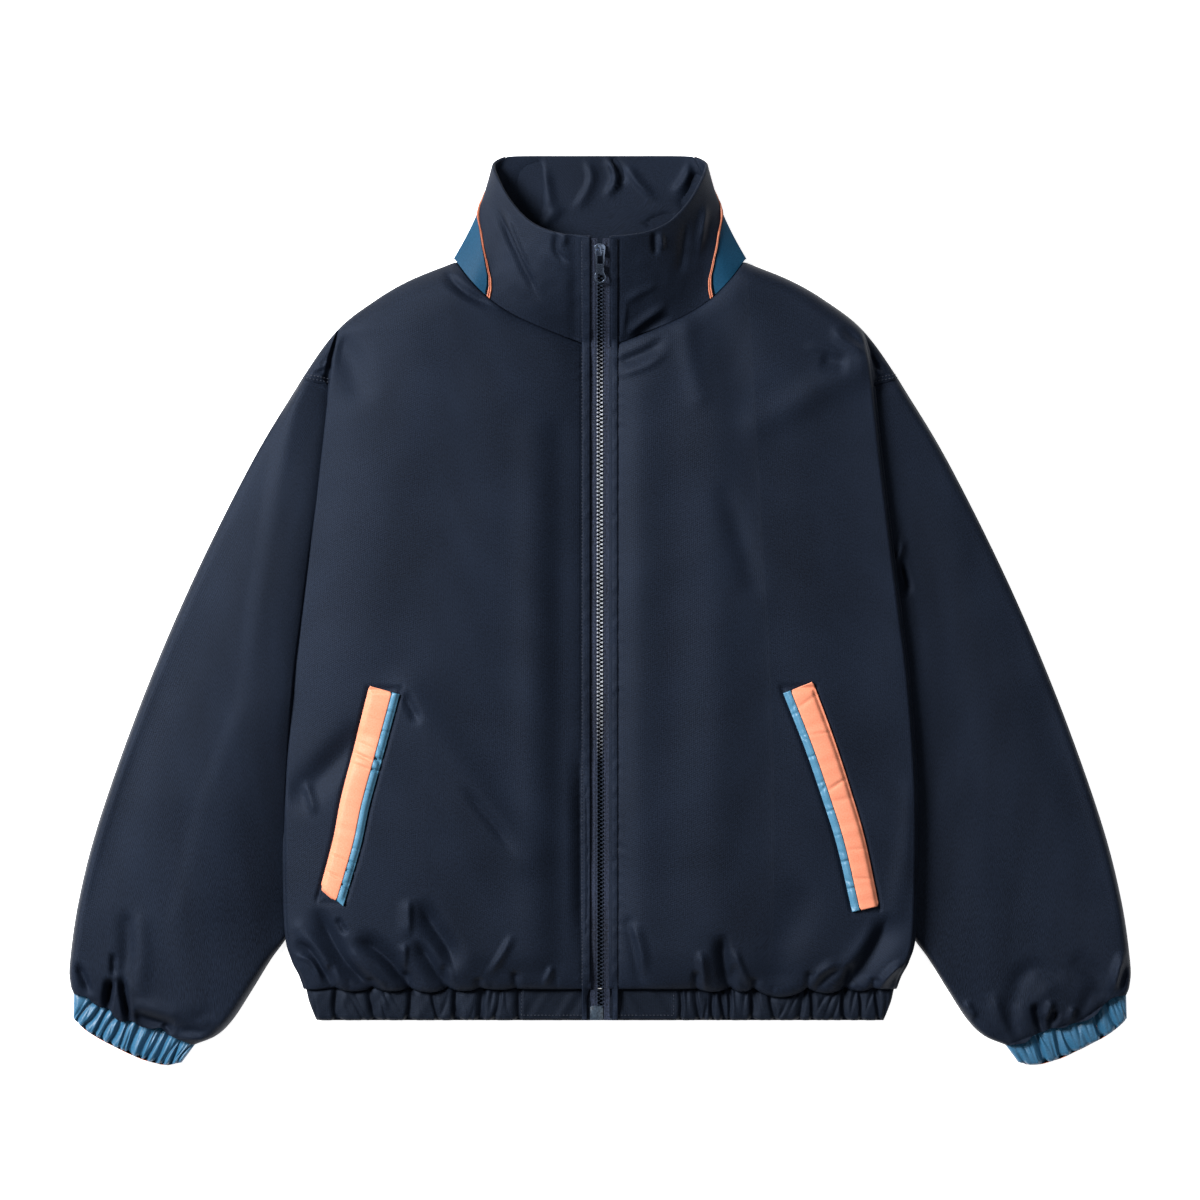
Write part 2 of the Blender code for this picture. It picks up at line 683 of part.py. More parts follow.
def band_front(side_name):
    side = SIDES[side_name]
    middles = sorted(abs(x) for x in (HEM_PLEATS_LEFT if side > 0 else HEM_PLEATS_RIGHT))
    wide = side_x(HEM_SEAM_Y)
    across = pleat_lines(middles, ZIP_EDGE, wide - 9)
    across += [(wide - 4.5, 0.0), (wide - 1.5, 0.0), (wide, 0.0)]

    def place(a, v, outer):
        half, depth = a
        seam_y = hem_seam_y(side * half) - BAND_GAP
        y = mix(seam_y, HEM_Y, v)
        edge = side_x(y)
        half = mix(ZIP_EDGE, edge, (half - ZIP_EDGE) / (wide - ZIP_EDGE))
        inside = edge - half
        if not outer:
            half -= 3.0 * (1 - soft_step(inside / 9.0))
            return side * half, y, BAND_MID + SEAM_GAP / 2
        z = BAND_Z - PLEAT_DEPTH * depth * (0.7 if v == 1 else 1.0)
        if v == 1:
            z -= BAND_Z - BAND_RIM_Z
        z = mix(BAND_MID + SEAM_GAP / 2, z, quarter_round(inside / BAND_SIDE_ROUND))
        return side * half, y, max(z, BAND_MID + SEAM_GAP / 2)

    return sheet_wall(f"hem_band_front_{side_name}", across, BAND_ALONG, place, navy_band)


def band_back():
    across = [-1.0, -0.985, -0.96, -0.6, -0.3, 0.0, 0.3, 0.6, 0.96, 0.985, 1.0]
    along = [0.0, 0.9, 1.0]

    def place(u, v, outer):
        edge = side_x(mix(HEM_SEAM_Y, HEM_Y, v))
        x = edge * u
        y = mix(HEM_SEAM_Y - SEAM_GAP, HEM_Y, v)
        inside = edge - abs(x)
        if not outer:
            x -= math.copysign(3.0 * (1 - soft_step(inside / 9.0)), x)
            return x, y, BAND_MID - SEAM_GAP / 2
        rise = 1 - quarter_round(inside / BAND_SIDE_ROUND)
        return x, y, max((BAND_MID - SEAM_GAP / 2) * rise, 1.2 if v == 1 else 0.0)

    return sheet_wall("hem_band_back", across, along, place, navy_band)


CUFF_ALONG = [0.0, 0.45, 0.9, 1.0]
CUFF_UNDER_U = [1.0, 0.97, 0.75, 0.5, 0.25, 0.03]
CUFF_MID = 3.8
CUFF_RIM_Z = 6.3
FACING_PROUD = 1.1        # how far the facing shows below the cuff


def cuff_plan(u, v):
    top = cuff_seam.at(u)
    edge = cuff_edge.at(u)
    return top + (edge - top).normalized() * mix(CURVED_SEAM_GAP, (edge - top).length, v)


def cuff(side_name):
    side = SIDES[side_name]
    around = [(0.0, 0.0, True), (0.02, 0.0, True)]
    around += [(u, depth, True) for u, depth in pleat_lines(CUFF_PLEATS, 0.035, 0.965)]
    around += [(0.985, 0.0, True)]
    around += [(u, 0.0, False) for u in CUFF_UNDER_U]

    def place(a, v, outer):
        u, depth, upper = a
        if not outer:
            spot = cuff_plan(mix(0.03, 0.97, u), v)
            open_half = 0.0 if u in (0.0, 1.0) else FACING_WALL
            return side * spot.x, spot.y, CUFF_MID + (open_half if upper else -open_half)
        spot = cuff_plan(u, v)
        if u in (0.0, 1.0):
            return side * spot.x, spot.y, CUFF_MID
        if not upper:
            return side * spot.x, spot.y, 1.0 if v == 1 else 0.0
        z = CUFF_Z - CUFF_PLEAT * depth * (0.6 if v == 1 else 1.0)
        z -= CUFF_Z - CUFF_RIM_Z if v == 1 else 0
        side_share = quarter_round(min(u, 1 - u) / 0.04)
        return side * spot.x, spot.y, mix(CUFF_MID, z, side_share)

    return tube_wall(f"cuff_{side_name}", around, CUFF_ALONG, place, blue)


def cuff_facing(side_name):
    side = SIDES[side_name]
    shares = [0.1, 0.26, 0.42, 0.58, 0.74, 0.9]
    around = [(0.0, True)] + [(u, True) for u in shares]
    around += [(1.0, False)] + [(u, False) for u in reversed(shares)]

    def place(a, v, outer):
        u, upper = a
        spot = cuff_plan(mix(0.055, 0.945, u) if outer else mix(0.08, 0.92, u), v)
        half = 0.0 if u in (0.0, 1.0) else (FACING_WALL - 0.3 if outer else 0.15)
        return side * spot.x, spot.y, CUFF_MID + (half if upper else -half)

    length = (cuff_edge.at(0.5) - cuff_seam.at(0.5)).length
    return tube_wall(f"cuff_facing_{side_name}", around, [0.5, 1 + FACING_PROUD / length], place, orange)


# ---- Collar ----------------------------------------------------------------------------------


def dense(points, steps=4):
    line = smooth_line(points, steps)

    def at(section):
        spot = clamp(section * steps, 0, len(line) - 1.001)
        return line[int(spot)].lerp(line[int(spot) + 1], spot % 1)

    return at


def collar_base_points():
    points = []
    for section in range(NECKLINE_STEPS + 1):
        share = section / NECKLINE_STEPS
        spot = neckline.at(share)
        ahead = neckline.at(share + 0.01) - neckline.at(share - 0.01)
        inward = Vector((-ahead.y, ahead.x)).normalized()
        spot = spot + inward * CURVED_SEAM_GAP
        points.append((spot.x, spot.y, body_top(spot.x, spot.y)))
    return points + [tuple(row) for row in COLLAR_BASE_BACK]


collar_base = dense(collar_base_points())
collar_top = dense([tuple(row) for row in COLLAR_TOP])


def collar_plain(section, rise):
    return collar_base(section).lerp(collar_top(section), rise)


def collar_outward(section, rise):
    step = 0.12
    low = clamp(section - step, 0, 12)
    high = clamp(section + step, 0, 12)
    round_it = collar_plain(high, rise) - collar_plain(low, rise)
    up = collar_plain(section, min(rise + step, 1)) - collar_plain(section, max(rise - step, 0))
    return round_it.cross(up).normalized()


def collar_point(section, rise, depth):
    """A point on the collar, the given depth inside its outer side."""
    spot = collar_plain(section, rise)
    outward = collar_outward(section, rise)
    bulge = COLLAR_BULGE * math.sin(math.pi * rise) * soft_step((9 - section) / 3)
    spot = spot + outward * (bulge - depth)
    return Vector((spot.x, spot.y, max(spot.z, depth)))


def piping_section(rise):
    return PIPING_START + PIPING_DRIFT * rise


def section_width(section, rise):
    return (collar_plain(section + 0.2, rise) - collar_plain(section - 0.2, rise)).length / 0.4


def collar_front(side_name):
    side = SIDES[side_name]
    across = [i / 10 for i in range(11)]
    along = [i / COLLAR_ROWS for i in range(COLLAR_ROWS + 1)]

    def place(u, rise, outer):
        edge = piping_section(rise)
        edge -= (PIPING_WIDTH / 2 + 1.4 * CURVED_SEAM_GAP) / section_width(edge, rise)
        spot = collar_point(edge * u, rise, 0.0 if outer else COLLAR_WALL)
        return side * spot.x, spot.y, spot.z

    return sheet_wall(f"collar_front_{side_name}", across, along, place, navy)


def collar_behind(name, near, far, look):
    """The part of the collar between the two pipings, at a depth below its outer side."""
    across = [i / COLLAR_BACK_COLUMNS for i in range(-COLLAR_BACK_COLUMNS, COLLAR_BACK_COLUMNS + 1)]
    along = [i / COLLAR_ROWS for i in range(COLLAR_ROWS + 1)]

    def place(u, rise, outer):
        edge = piping_section(rise)
        edge += (PIPING_WIDTH / 2 + CURVED_SEAM_GAP) / section_width(edge, rise)
        spot = collar_point(mix(12, edge, abs(u)), rise, near if outer else far)
        return (spot.x if u > 0 else -spot.x), spot.y, spot.z

    return sheet_wall(name, across, along, place, look)


def collar_piping(side_name):
    side = SIDES[side_name]
    along = [i / COLLAR_ROWS for i in range(COLLAR_ROWS + 1)]

    def place(u, rise, outer):
        middle = piping_section(rise)
        section = middle + u * PIPING_WIDTH / 2 / section_width(middle, rise)
        proud = 1.1 if u == 0 else 0.2
        spot = collar_point(section, rise, -proud if outer else 1.6)
        return side * spot.x, spot.y, spot.z

    return sheet_wall(f"collar_piping_{side_name}", [-1, 0, 1], along, place, orange)


# ---- Pocket welts ------------------------------------------------------------------------------

# Seam between the wide strip and the narrow one, on each front.
WELT_SEAM = {
    "right": [Point(174.0, -67.5), Point(188.0, -119.0), Point(199.5, -161.0), Point(207.0, -196.0),
              Point(220.5, -242.0)],
    "left": [Point(159.6, -66.0), Point(178.0, -113.0), Point(192.5, -155.0), Point(205.0, -195.0),
             Point(217.6, -250.0)],
}
WELT_WIDTH = (20.0, 16.5)
STRIP_WIDTH = 6.6
WELT_ALONG = [i / 14 for i in range(15)]


def surface_under(piece):
    """A function that gives the height of a panel's outer side, in millimetres."""
    bm = bmesh.new()
    bm.from_mesh(piece.data)
    tree = BVHTree.FromBMesh(bm)
    bm.free()

    def height(x, y):
        hit = tree.ray_cast(Vector((x, y, 200.0)) * MM, Vector((0, 0, -1)))
        return hit[0].z / MM

    return height


def strip(name, side_name, line, offsets, height, look):
    """A flat strip that lies on a panel, between two distances from a line."""
    side = SIDES[side_name]

    def place(u, v, outer):
        spot = line.at(v)
        ahead = line.at(v + 0.02) - line.at(v - 0.02)
        outward = Vector((-ahead.y, ahead.x)).normalized()
        near, far = offsets(v)
        spot = spot + outward * mix(near, far, u)
        x = side * spot.x
        rise = WELT_LIFT + (WELT_WALL if outer else 0.0)
        if outer and u in (0, 1):
            rise -= 0.5
        return x, spot.y, height(x, spot.y) + rise

    return sheet_wall(name, [0, 0.25, 0.5, 0.75, 1], WELT_ALONG, place, look)


def pocket(side_name, panel):
    line = Line(WELT_SEAM[side_name])
    height = surface_under(panel)
    strip(f"pocket_welt_{side_name}", side_name, line,
          lambda v: (SEAM_GAP / 2, mix(*WELT_WIDTH, v)), height, orange)
    strip(f"pocket_piping_{side_name}", side_name, line,
          lambda v: (-STRIP_WIDTH, -SEAM_GAP / 2), height, blue)


# ---- Zip -----------------------------------------------------------------------------------------


def zip_profile():
    """The zip's line in the middle plane, from the top down, at the height of the front's edge."""
    points = []
    for rise in (0.94, 0.8, 0.6, 0.4, 0.2, 0.05):
        spot = collar_point(0, rise, 0)
        points.append((spot.y, spot.z))
    y = NECKLINE[0].y - 12
    while y > HEM_SEAM_Y + 12:
        points.append((y, body_top(-ZIP_EDGE, y)))
        y -= 26
    points.append((HEM_SEAM_Y - 1, mix(HEM_Z, BAND_Z, 0.4)))
    points.append((HEM_SEAM_Y - 10, BAND_Z))
    points.append((HEM_Y, BAND_Z))
    return Line(points)


zip_line = zip_profile()
ZIP_STEPS = 34
TAPE_END = 0.9995         # shares of the zip's line at which its parts end
CHAIN_END = 0.979
BOX_TOP_Y = -331.5
BOX_HEIGHT = 3.2
FILM_WALL = 0.6
TAPE_INNER = 3.3
CHAIN_INNER = 0.2
TAPE_OUTER = 7.6
SLIDER_SHARE = 0.011


def zip_spot(share, lift):
    spot = zip_line.at(share)
    ahead = zip_line.at(share + 0.004) - zip_line.at(share - 0.004)
    up = Vector((-ahead.y, ahead.x)).normalized()
    if up.y < 0:
        up = -up
    return spot + up * lift


def zip_bar(name, side, near, far, thickness, end, look):
    """A band along the zip's line, between two distances from the middle."""
    shares = [end * i / ZIP_STEPS for i in range(ZIP_STEPS + 1)]

    def place(u, v, outer):
        spot = zip_spot(v, (thickness if outer else 0.0) - ZIP_SINK)
        return side * u, spot.x, spot.y

    return sheet_wall(name, [near, far], shares, place, look)


def zip_tape(side_name):
    side = SIDES[side_name]
    zip_bar(f"zip_tape_{side_name}", side, TAPE_INNER, TAPE_OUTER, TAPE_WALL, TAPE_END, tape_black)


def zip_chain(side_name):
    """One row of teeth, as a plain bar."""
    side = SIDES[side_name]
    zip_bar(f"zip_chain_{side_name}", side, CHAIN_INNER, CHAIN_HALF, CHAIN_WALL, CHAIN_END, chain_grey)


def prism(name, outline_points, low, high, look, turn=None):
    """An outline in the XY plane, drawn out along Z."""
    bm = bmesh.new()
    verts = [bm.verts.new((x, y, low)) for x, y in outline_points]
    face = bm.faces.new(verts)
    made = bmesh.ops.extrude_face_region(bm, geom=[face])
    raised = [item for item in made["geom"] if isinstance(item, bmesh.types.BMVert)]
    bmesh.ops.translate(bm, verts=raised, vec=(0, 0, high - low))
    if turn is not None:
        bmesh.ops.transform(bm, matrix=turn, verts=bm.verts)
    bmesh.ops.scale(bm, vec=(MM, MM, MM), verts=bm.verts)
    return finish(name, bm, look)


def circle(radius, centre_y, segments):
    turns = [math.tau * i / segments for i in range(segments)]
    return [(radius * math.cos(a), centre_y + radius * math.sin(a)) for a in turns]


def combine(base, other, operation):
    """Joins or cuts with a helper that is left out of the part."""
    change = base.modifiers.new(operation.title(), "BOOLEAN")
    change.operation = operation
    change.object = other
    other.hide_render = True
    other.display_type = "WIRE"


SLIDER_PLATE = [(-2.6, 5.2), (-4.5, 3.2), (-4.2, -3.0), (-3.4, -5.2),
                (3.4, -5.2), (4.2, -3.0), (4.5, 3.2), (2.6, 5.2)]
SLIDER_LOW = -0.3
SLIDER_HIGH = 1.2
FLANGE_DEPTH = 1.9
CROWN_HALF = 0.95
CROWN = [(-3.9, 0.0), (-3.9, 3.4), (-3.4, 3.9), (3.4, 3.9), (3.9, 3.4), (3.9, 0.0),
         (2.6, 0.0), (2.6, 2.7), (-2.6, 2.7), (-2.6, 0.0)]
PIVOT_UP = 1.35           # from the slider's top face to the pull's bar
PULL_WALL = 1.4
PULL_TILT = math.radians(3.5)
PULL_PLATE = [(-2.9, 0.7), (-2.9, -9.0), (-2.3, -12.0), (-2.6, -20.0),
              (2.6, -20.0), (2.3, -12.0), (2.9, -9.0), (2.9, 0.7)]
PULL_SLOT = [(-1.5, -0.7), (-1.5, -10.0), (1.5, -10.0), (1.5, -0.7)]
RING_Y = -23.6
RING_RADIUS = 5.0
RING_HOLE = 2.9


def in_zip_frame(pieces, tilt, lift):
    """Sets pieces on the zip where the slider stands, turned with the collar's slope."""
    spot = zip_spot(SLIDER_SHARE, lift)
    ahead = zip_line.at(SLIDER_SHARE - 0.006) - zip_line.at(SLIDER_SHARE + 0.006)
    slope = math.atan2(ahead.y, ahead.x)
    place = Matrix.Translation(Vector((0, spot.x, spot.y)) * MM) @ Matrix.Rotation(slope + tilt, 4, "X")
    for piece in pieces:
        piece.matrix_world = place


def zip_slider():
    plate = prism("zip_slider", SLIDER_PLATE, SLIDER_LOW, SLIDER_HIGH, gunmetal)
    helpers = []
    for x in (-1, 1):
        corners = [(x * 3.25, -3.6), (x * 3.25, 3.2), (x * 4.25, 3.2), (x * 4.1, -3.0), (x * 3.8, -3.6)]
        helpers.append(prism(f"slider_flange_{x}", corners, -FLANGE_DEPTH, 0.4, gunmetal))
    # The crown's outline is drawn flat and turned, so that its width lies along the hinge.
    outline_yz = [(y, z + SLIDER_HIGH - (0.3 if z == 0 else 0)) for y, z in CROWN]
    stand_up = Matrix(((0, 0, 1, 0), (1, 0, 0, 0), (0, 1, 0, 0), (0, 0, 0, 1)))
    helpers.append(prism("slider_crown", outline_yz, -CROWN_HALF, CROWN_HALF, gunmetal, stand_up))
    for helper in helpers:
        combine(plate, helper, "UNION")
    in_zip_frame([plate, *helpers], 0.0, 0.0)


def zip_pull():
    half = PULL_WALL / 2
    plate = prism("zip_pull", PULL_PLATE, -half, half, gunmetal)
    ring = prism("pull_ring", circle(RING_RADIUS, RING_Y, 20), -half, half, gunmetal)
    slot = prism("pull_slot", PULL_SLOT, -3 * half, 3 * half, gunmetal)
    hole = prism("pull_hole", circle(RING_HOLE, RING_Y, 16), -3 * half, 3 * half, gunmetal)
    combine(plate, ring, "UNION")
    combine(plate, slot, "DIFFERENCE")
    combine(plate, hole, "DIFFERENCE")
    in_zip_frame([plate, ring, slot, hole], PULL_TILT, SLIDER_HIGH + PIVOT_UP)


def zip_box():
    """The retainer at the foot of the zip, between the tapes, with rounded upper corners."""
    low = zip_spot(1.0, -ZIP_SINK).y
    corners = [(-3.0, HEM_Y + 0.3), (3.0, HEM_Y + 0.3), (3.0, BOX_TOP_Y - 1.0), (2.0, BOX_TOP_Y),
               (-2.0, BOX_TOP_Y), (-3.0, BOX_TOP_Y - 1.0)]
    prism("zip_box", corners, low, low + BOX_HEIGHT, gunmetal)


def zip_film(side_name):
    """The clear film that stiffens the foot of a tape."""
    side = SIDES[side_name]
    low = zip_spot(1.0, -ZIP_SINK).y + TAPE_WALL + SEAM_GAP
    inner = side * (TAPE_INNER + 0.1)
    outer = side * (TAPE_OUTER - 0.1)
    corners = [(inner, HEM_Y + 0.2), (outer, HEM_Y + 0.2), (outer, BOX_TOP_Y), (inner, BOX_TOP_Y)]
    prism(f"zip_film_{side_name}", corners, low, low + FILM_WALL, film)


# ---- Putting the windbreaker together ------------------------------------------------------------


def linear(hex_colour):
    """Scene-linear values of an sRGB hex colour."""
    values = [int(hex_colour[i:i + 2], 16) / 255 for i in (1, 3, 5)]
    return tuple(v / 12.92 if v <= 0.04045 else ((v + 0.055) / 1.055) ** 2.4 for v in values)


for left_over in list(bpy.data.objects):
    bpy.data.objects.remove(left_over, do_unlink=True)

navy = material("navy_shell", linear("#2a3242"), 0.55)
navy_band = material("navy_band", linear("#232a38"), 0.6)
blue = material("blue_satin", linear("#4f7a93"), 0.45)
orange = material("orange_satin", linear("#f0a27c"), 0.5)
tape_black = material("zip_tape_black", linear("#22262f"), 0.8)
chain_grey = material("zip_teeth_grey", linear("#4a4f58"), 0.4, 0.6)
gunmetal = material("gunmetal", linear("#2c2e33"), 0.35, 0.9)
film = material("clear_film", linear("#5d7482"), 0.2)

back()
band_back()
for name in SIDES:
    pocket(name, front(name))
    sleeve(name)
    cuff(name)
    cuff_facing(name)
    band_front(name)
    collar_front(name)
    collar_piping(name)
    zip_tape(name)
    zip_chain(name)
    zip_film(name)
collar_behind("collar_back", 0.0, COLLAR_BACK_WALL, blue)
inner_near = COLLAR_BACK_WALL + CURVED_SEAM_GAP
collar_behind("collar_inner_back", inner_near, inner_near + COLLAR_INNER_WALL, navy)
zip_slider()
zip_pull()
zip_box()
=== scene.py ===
import math
from collections import namedtuple

import bmesh
import bpy
import numpy as np
from mathutils import Matrix, Vector


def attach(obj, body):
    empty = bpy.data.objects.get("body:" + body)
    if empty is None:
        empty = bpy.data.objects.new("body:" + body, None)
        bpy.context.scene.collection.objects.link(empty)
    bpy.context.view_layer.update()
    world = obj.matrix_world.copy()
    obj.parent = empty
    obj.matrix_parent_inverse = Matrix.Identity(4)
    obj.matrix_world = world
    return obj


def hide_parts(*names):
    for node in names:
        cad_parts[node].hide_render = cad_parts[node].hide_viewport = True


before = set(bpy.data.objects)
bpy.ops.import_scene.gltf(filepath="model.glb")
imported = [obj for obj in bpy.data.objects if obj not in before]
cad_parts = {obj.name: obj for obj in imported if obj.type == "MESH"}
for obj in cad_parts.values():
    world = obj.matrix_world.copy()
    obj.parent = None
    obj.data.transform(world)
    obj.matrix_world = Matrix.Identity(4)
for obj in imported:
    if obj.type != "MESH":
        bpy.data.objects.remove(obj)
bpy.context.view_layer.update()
mm = 0.001
sides = {"right": -1, "left": 1}
print("frame loaded")

Fold = namedtuple("Fold", "points height left right ends round")

# ---- small helpers


def mix(a, b, share):
    return a + (b - a) * share


def bySide(x, values):
    return np.where(x < 0, values["right"], values["left"])


# Splits shares that run out on the upper side and back on the under side.
def unrolled(around):
    return around > 1, np.where(around > 1, 2 - around, around)


def clamp(share):
    return np.clip(share, 0, 1)


def softStep(share):
    share = clamp(share)
    return share * share * (3 - 2 * share)


def quarterRound(share):
    return np.sqrt(1 - (1 - clamp(share)) ** 2)


def smoothPoints(points, steps=8):
    points = np.array(points, float)
    ends = np.vstack([2 * points[0] - points[1], points, 2 * points[-1] - points[-2]])
    t = np.linspace(0, 1, steps + 1)[1:, None]
    line = [points[:1]]
    for before, start, stop, after in zip(ends, ends[1:], ends[2:], ends[3:]):
        out = start + (stop - before) / 6
        back = stop - (after - start) / 6
        early, late = (1 - t) ** 3 * start, t**3 * stop
        line.append(early + 3 * (1 - t) ** 2 * t * out + 3 * (1 - t) * t * t * back + late)
    return np.vstack(line)


# How far along a line each of its points is.
def reachAlong(points):
    return np.append(0, np.cumsum(np.linalg.norm(np.diff(points, axis=0), axis=1)))


# The shares along a line's pieces that lie nearest to some spots, and the offsets to the spots from there.
def nearestOn(start, stop, x, y):
    (ax, ay), (dx, dy) = start, stop - start
    share = clamp(((x - ax) * dx + (y - ay) * dy) / (dx * dx + dy * dy))
    return share, x - ax - share * dx, y - ay - share * dy


class SmoothLine:
    def __init__(self, points):
        self.points = smoothPoints(points)
        self.reach = reachAlong(self.points)

    def at(self, share):
        target = clamp(share) * self.reach[-1]
        return [np.interp(target, self.reach, column) for column in self.points.T]

    def distance(self, x, y):
        nearest = np.full(np.broadcast(x, y).shape, np.inf)
        for start, stop in zip(self.points, self.points[1:]):
            nearest = np.minimum(nearest, np.hypot(*nearestOn(start, stop, x, y)[1:]))
        return nearest

    def crossing(self, axis, value):
        order = np.argsort(self.points[:, axis], kind="stable")
        return np.interp(value, self.points[order, axis], self.points[order, 1 - axis])


# A soft ridge, or with a height below 0 a soft trough.
def swell(points, height, width, ends="both"):
    return Fold(points, 1.5 * height, width, width, ends, None)


# A sharp line from top to bottom, with a flank of its own width on its left and right.
def crease(points, height, left, right, ends="both", round=0.7):
    return Fold(points, 1.9 * height, left, right, ends, round)


# The sum of the folds: each follows a line and fades at both ends, or only at its upper one.
def foldHeight(x, y, folds):
    total = np.zeros_like(x)
    for fold in folds:
        isSwell = fold.round is None
        line = smoothPoints(fold.points, 7)
        reach = max(fold.left, fold.right) * (2.4 if isSwell else 1.0)
        low, high = line.min(0) - reach, line.max(0) + reach
        near = (x > low[0]) & (x < high[0]) & (y > low[1]) & (y < high[1])
        if not near.any():
            continue
        px, py = x[near], y[near]
        best = np.full(px.shape, np.inf)
        side, share = np.zeros_like(px), np.zeros_like(px)
        starts = reachAlong(line)
        for i, (start, stop) in enumerate(zip(line, line[1:])):
            (dx, dy), length = stop - start, starts[i + 1] - starts[i]
            t, offX, offY = nearestOn(start, stop, px, py)
            gap = np.hypot(offX, offY)
            closer = gap < best
            best[closer] = gap[closer]
            side[closer] = ((dy * offX - dx * offY) / (length * np.maximum(gap, 1e-6)))[closer]
            share[closer] = ((starts[i] + t * length) / starts[-1])[closer]
        width = mix(fold.left, fold.right, (1 - side) / 2)
        if isSwell:
            profile = np.exp(-((best / width) ** 2))
            strength = 0.7 + 0.3 * (softStep(share) if fold.ends == "root" else np.sin(np.pi * share))
        else:
            profile = 1 - np.sin(np.pi / 2 * clamp((np.hypot(best, fold.round) - fold.round) / width))
            strength = softStep(share / 0.32)
            if fold.ends == "both":
                strength = strength * softStep((1 - share) / 0.36)
        total[near] += fold.height * strength * profile
    return total


# An uneven wave along a seam, about 1 high.
def ripple(along, pitch, seed):
    phase = 1.7 * seed
    turn = 2 * np.pi * along / pitch
    wave = np.sin(turn + phase) * (0.65 + 0.35 * np.sin(turn / 4.3 + 2 * phase))
    return wave + 0.45 * np.sin(turn / 0.63 + 3.1 * phase)


# Gentle unevenness of padded cloth, from a fixed set of crossing waves, about 1 high.
def crumple(x, y, seed, wavelength=90.0, waves=11):
    total = np.zeros_like(x)
    for i in range(waves):
        turn = 2.4 * i + 0.9 * seed
        size = wavelength * (0.6 + 0.13 * i)
        bend = 0.2 * size * np.sin(2 * np.pi * (x * math.sin(turn) - y * math.cos(turn)) / (1.9 * size) + i)
        total += np.sin(2 * np.pi * (x * math.cos(turn) + y * math.sin(turn) + bend) / size + 1.9 * i * seed)
    return total / math.sqrt(waves)


# Shares from low to high that crowd at either end.
def edgeBiased(count, low=0.0, high=1.0, start=0.35, stop=0.35):
    t = np.linspace(0, 1, count)
    near = 1 - np.cos(np.pi * t / 2)
    far = np.sin(np.pi * t / 2)
    crowd = t * (1 - start - stop) + near * start + far * stop
    return low + (high - low) * crowd


# ---- materials


def linear(hexColour):
    values = [int(hexColour[i : i + 2], 16) / 255 for i in (1, 3, 5)]
    return tuple(v / 12.92 if v <= 0.04045 else ((v + 0.055) / 1.055) ** 2.4 for v in values) + (1.0,)


def addNode(tree, kind, settings=(), inputs=(), links=()):
    node = tree.nodes.new(kind)
    for name, value in dict(settings).items():
        setattr(node, name, value)
    for name, value in dict(inputs).items():
        node.inputs[name].default_value = value
    for name, source in dict(links).items():
        tree.links.new(source, node.inputs[name])
    return node


def newMaterial(name, shader):
    look = bpy.data.materials.new(name)
    look.use_nodes = True
    principled = look.node_tree.nodes["Principled BSDF"]
    for socket, value in shader.items():
        principled.inputs[socket].default_value = value
    return look, look.node_tree, principled


# Noise on a map, with its scale in turns to the metre.
def addNoise(tree, place, scale, detail=2.0, roughness=0.5):
    inputs = {"Scale": scale, "Detail": detail, "Roughness": roughness}
    return addNode(tree, "ShaderNodeTexNoise", {}, inputs, {"Vector": place}).outputs["Fac"]


def addRange(tree, value, limits):
    return addNode(tree, "ShaderNodeMapRange", {}, limits, {"Value": value}).outputs["Result"]


def addMath(tree, operation, inputs, links):
    return addNode(tree, "ShaderNodeMath", {"operation": operation}, inputs, links).outputs[0]


def addBump(tree, height, depthMm, strength=1.0, links=()):
    inputs = {"Strength": strength, "Distance": depthMm * mm}
    return addNode(tree, "ShaderNodeBump", {}, inputs, {"Height": height, **dict(links)}).outputs["Normal"]


# Mixes the surface's colour from two, by a share.
def addTint(tree, principled, none, full, share):
    colours = {"A": linear(none), "B": linear(full)}
    blend = addNode(tree, "ShaderNodeMix", {"data_type": "RGBA"}, colours, {"Factor": share})
    tree.links.new(blend.outputs["Result"], principled.inputs["Base Color"])


# Plain-weave cloth: threads both ways on the piece's own UV map, slubs, and a faint unevenness of dye.
# As with each kind of material here, its slot comes back with it.
def wovenCloth(slot, name, colour, shade, threadMm, shader, weaveDepth, grainDepth):
    look, tree, principled = newMaterial(name, shader)
    cloth = addNode(tree, "ShaderNodeUVMap", {"uv_map": "cloth"}).outputs["UV"]
    bandsPerTurn = 3.183  # a band texture of scale 1 has this many bands to the unit
    inputs = {"Scale": 1 / (2 * threadMm * mm) / bandsPerTurn, "Distortion": 0.6, "Detail": 1.0}
    waves = {}
    for i, direction in enumerate("XY"):
        settings = {"wave_type": "BANDS", "bands_direction": direction}
        waves[i] = addNode(tree, "ShaderNodeTexWave", settings, inputs, {"Vector": cloth}).outputs["Fac"]
    weave = addMath(tree, "MULTIPLY", {}, waves)
    grain = addNoise(tree, cloth, 700.0, roughness=0.75)
    spread = addMath(tree, "MULTIPLY_ADD", {1: 3.0}, {0: grain, 2: addNoise(tree, cloth, 14.0)})
    addTint(tree, principled, shade, colour, addRange(tree, spread, {"From Min": 1.4, "From Max": 2.6}))
    bump = addBump(tree, grain, grainDepth, links={"Normal": addBump(tree, weave, weaveDepth)})
    tree.links.new(bump, principled.inputs["Normal"])
    return slot, look


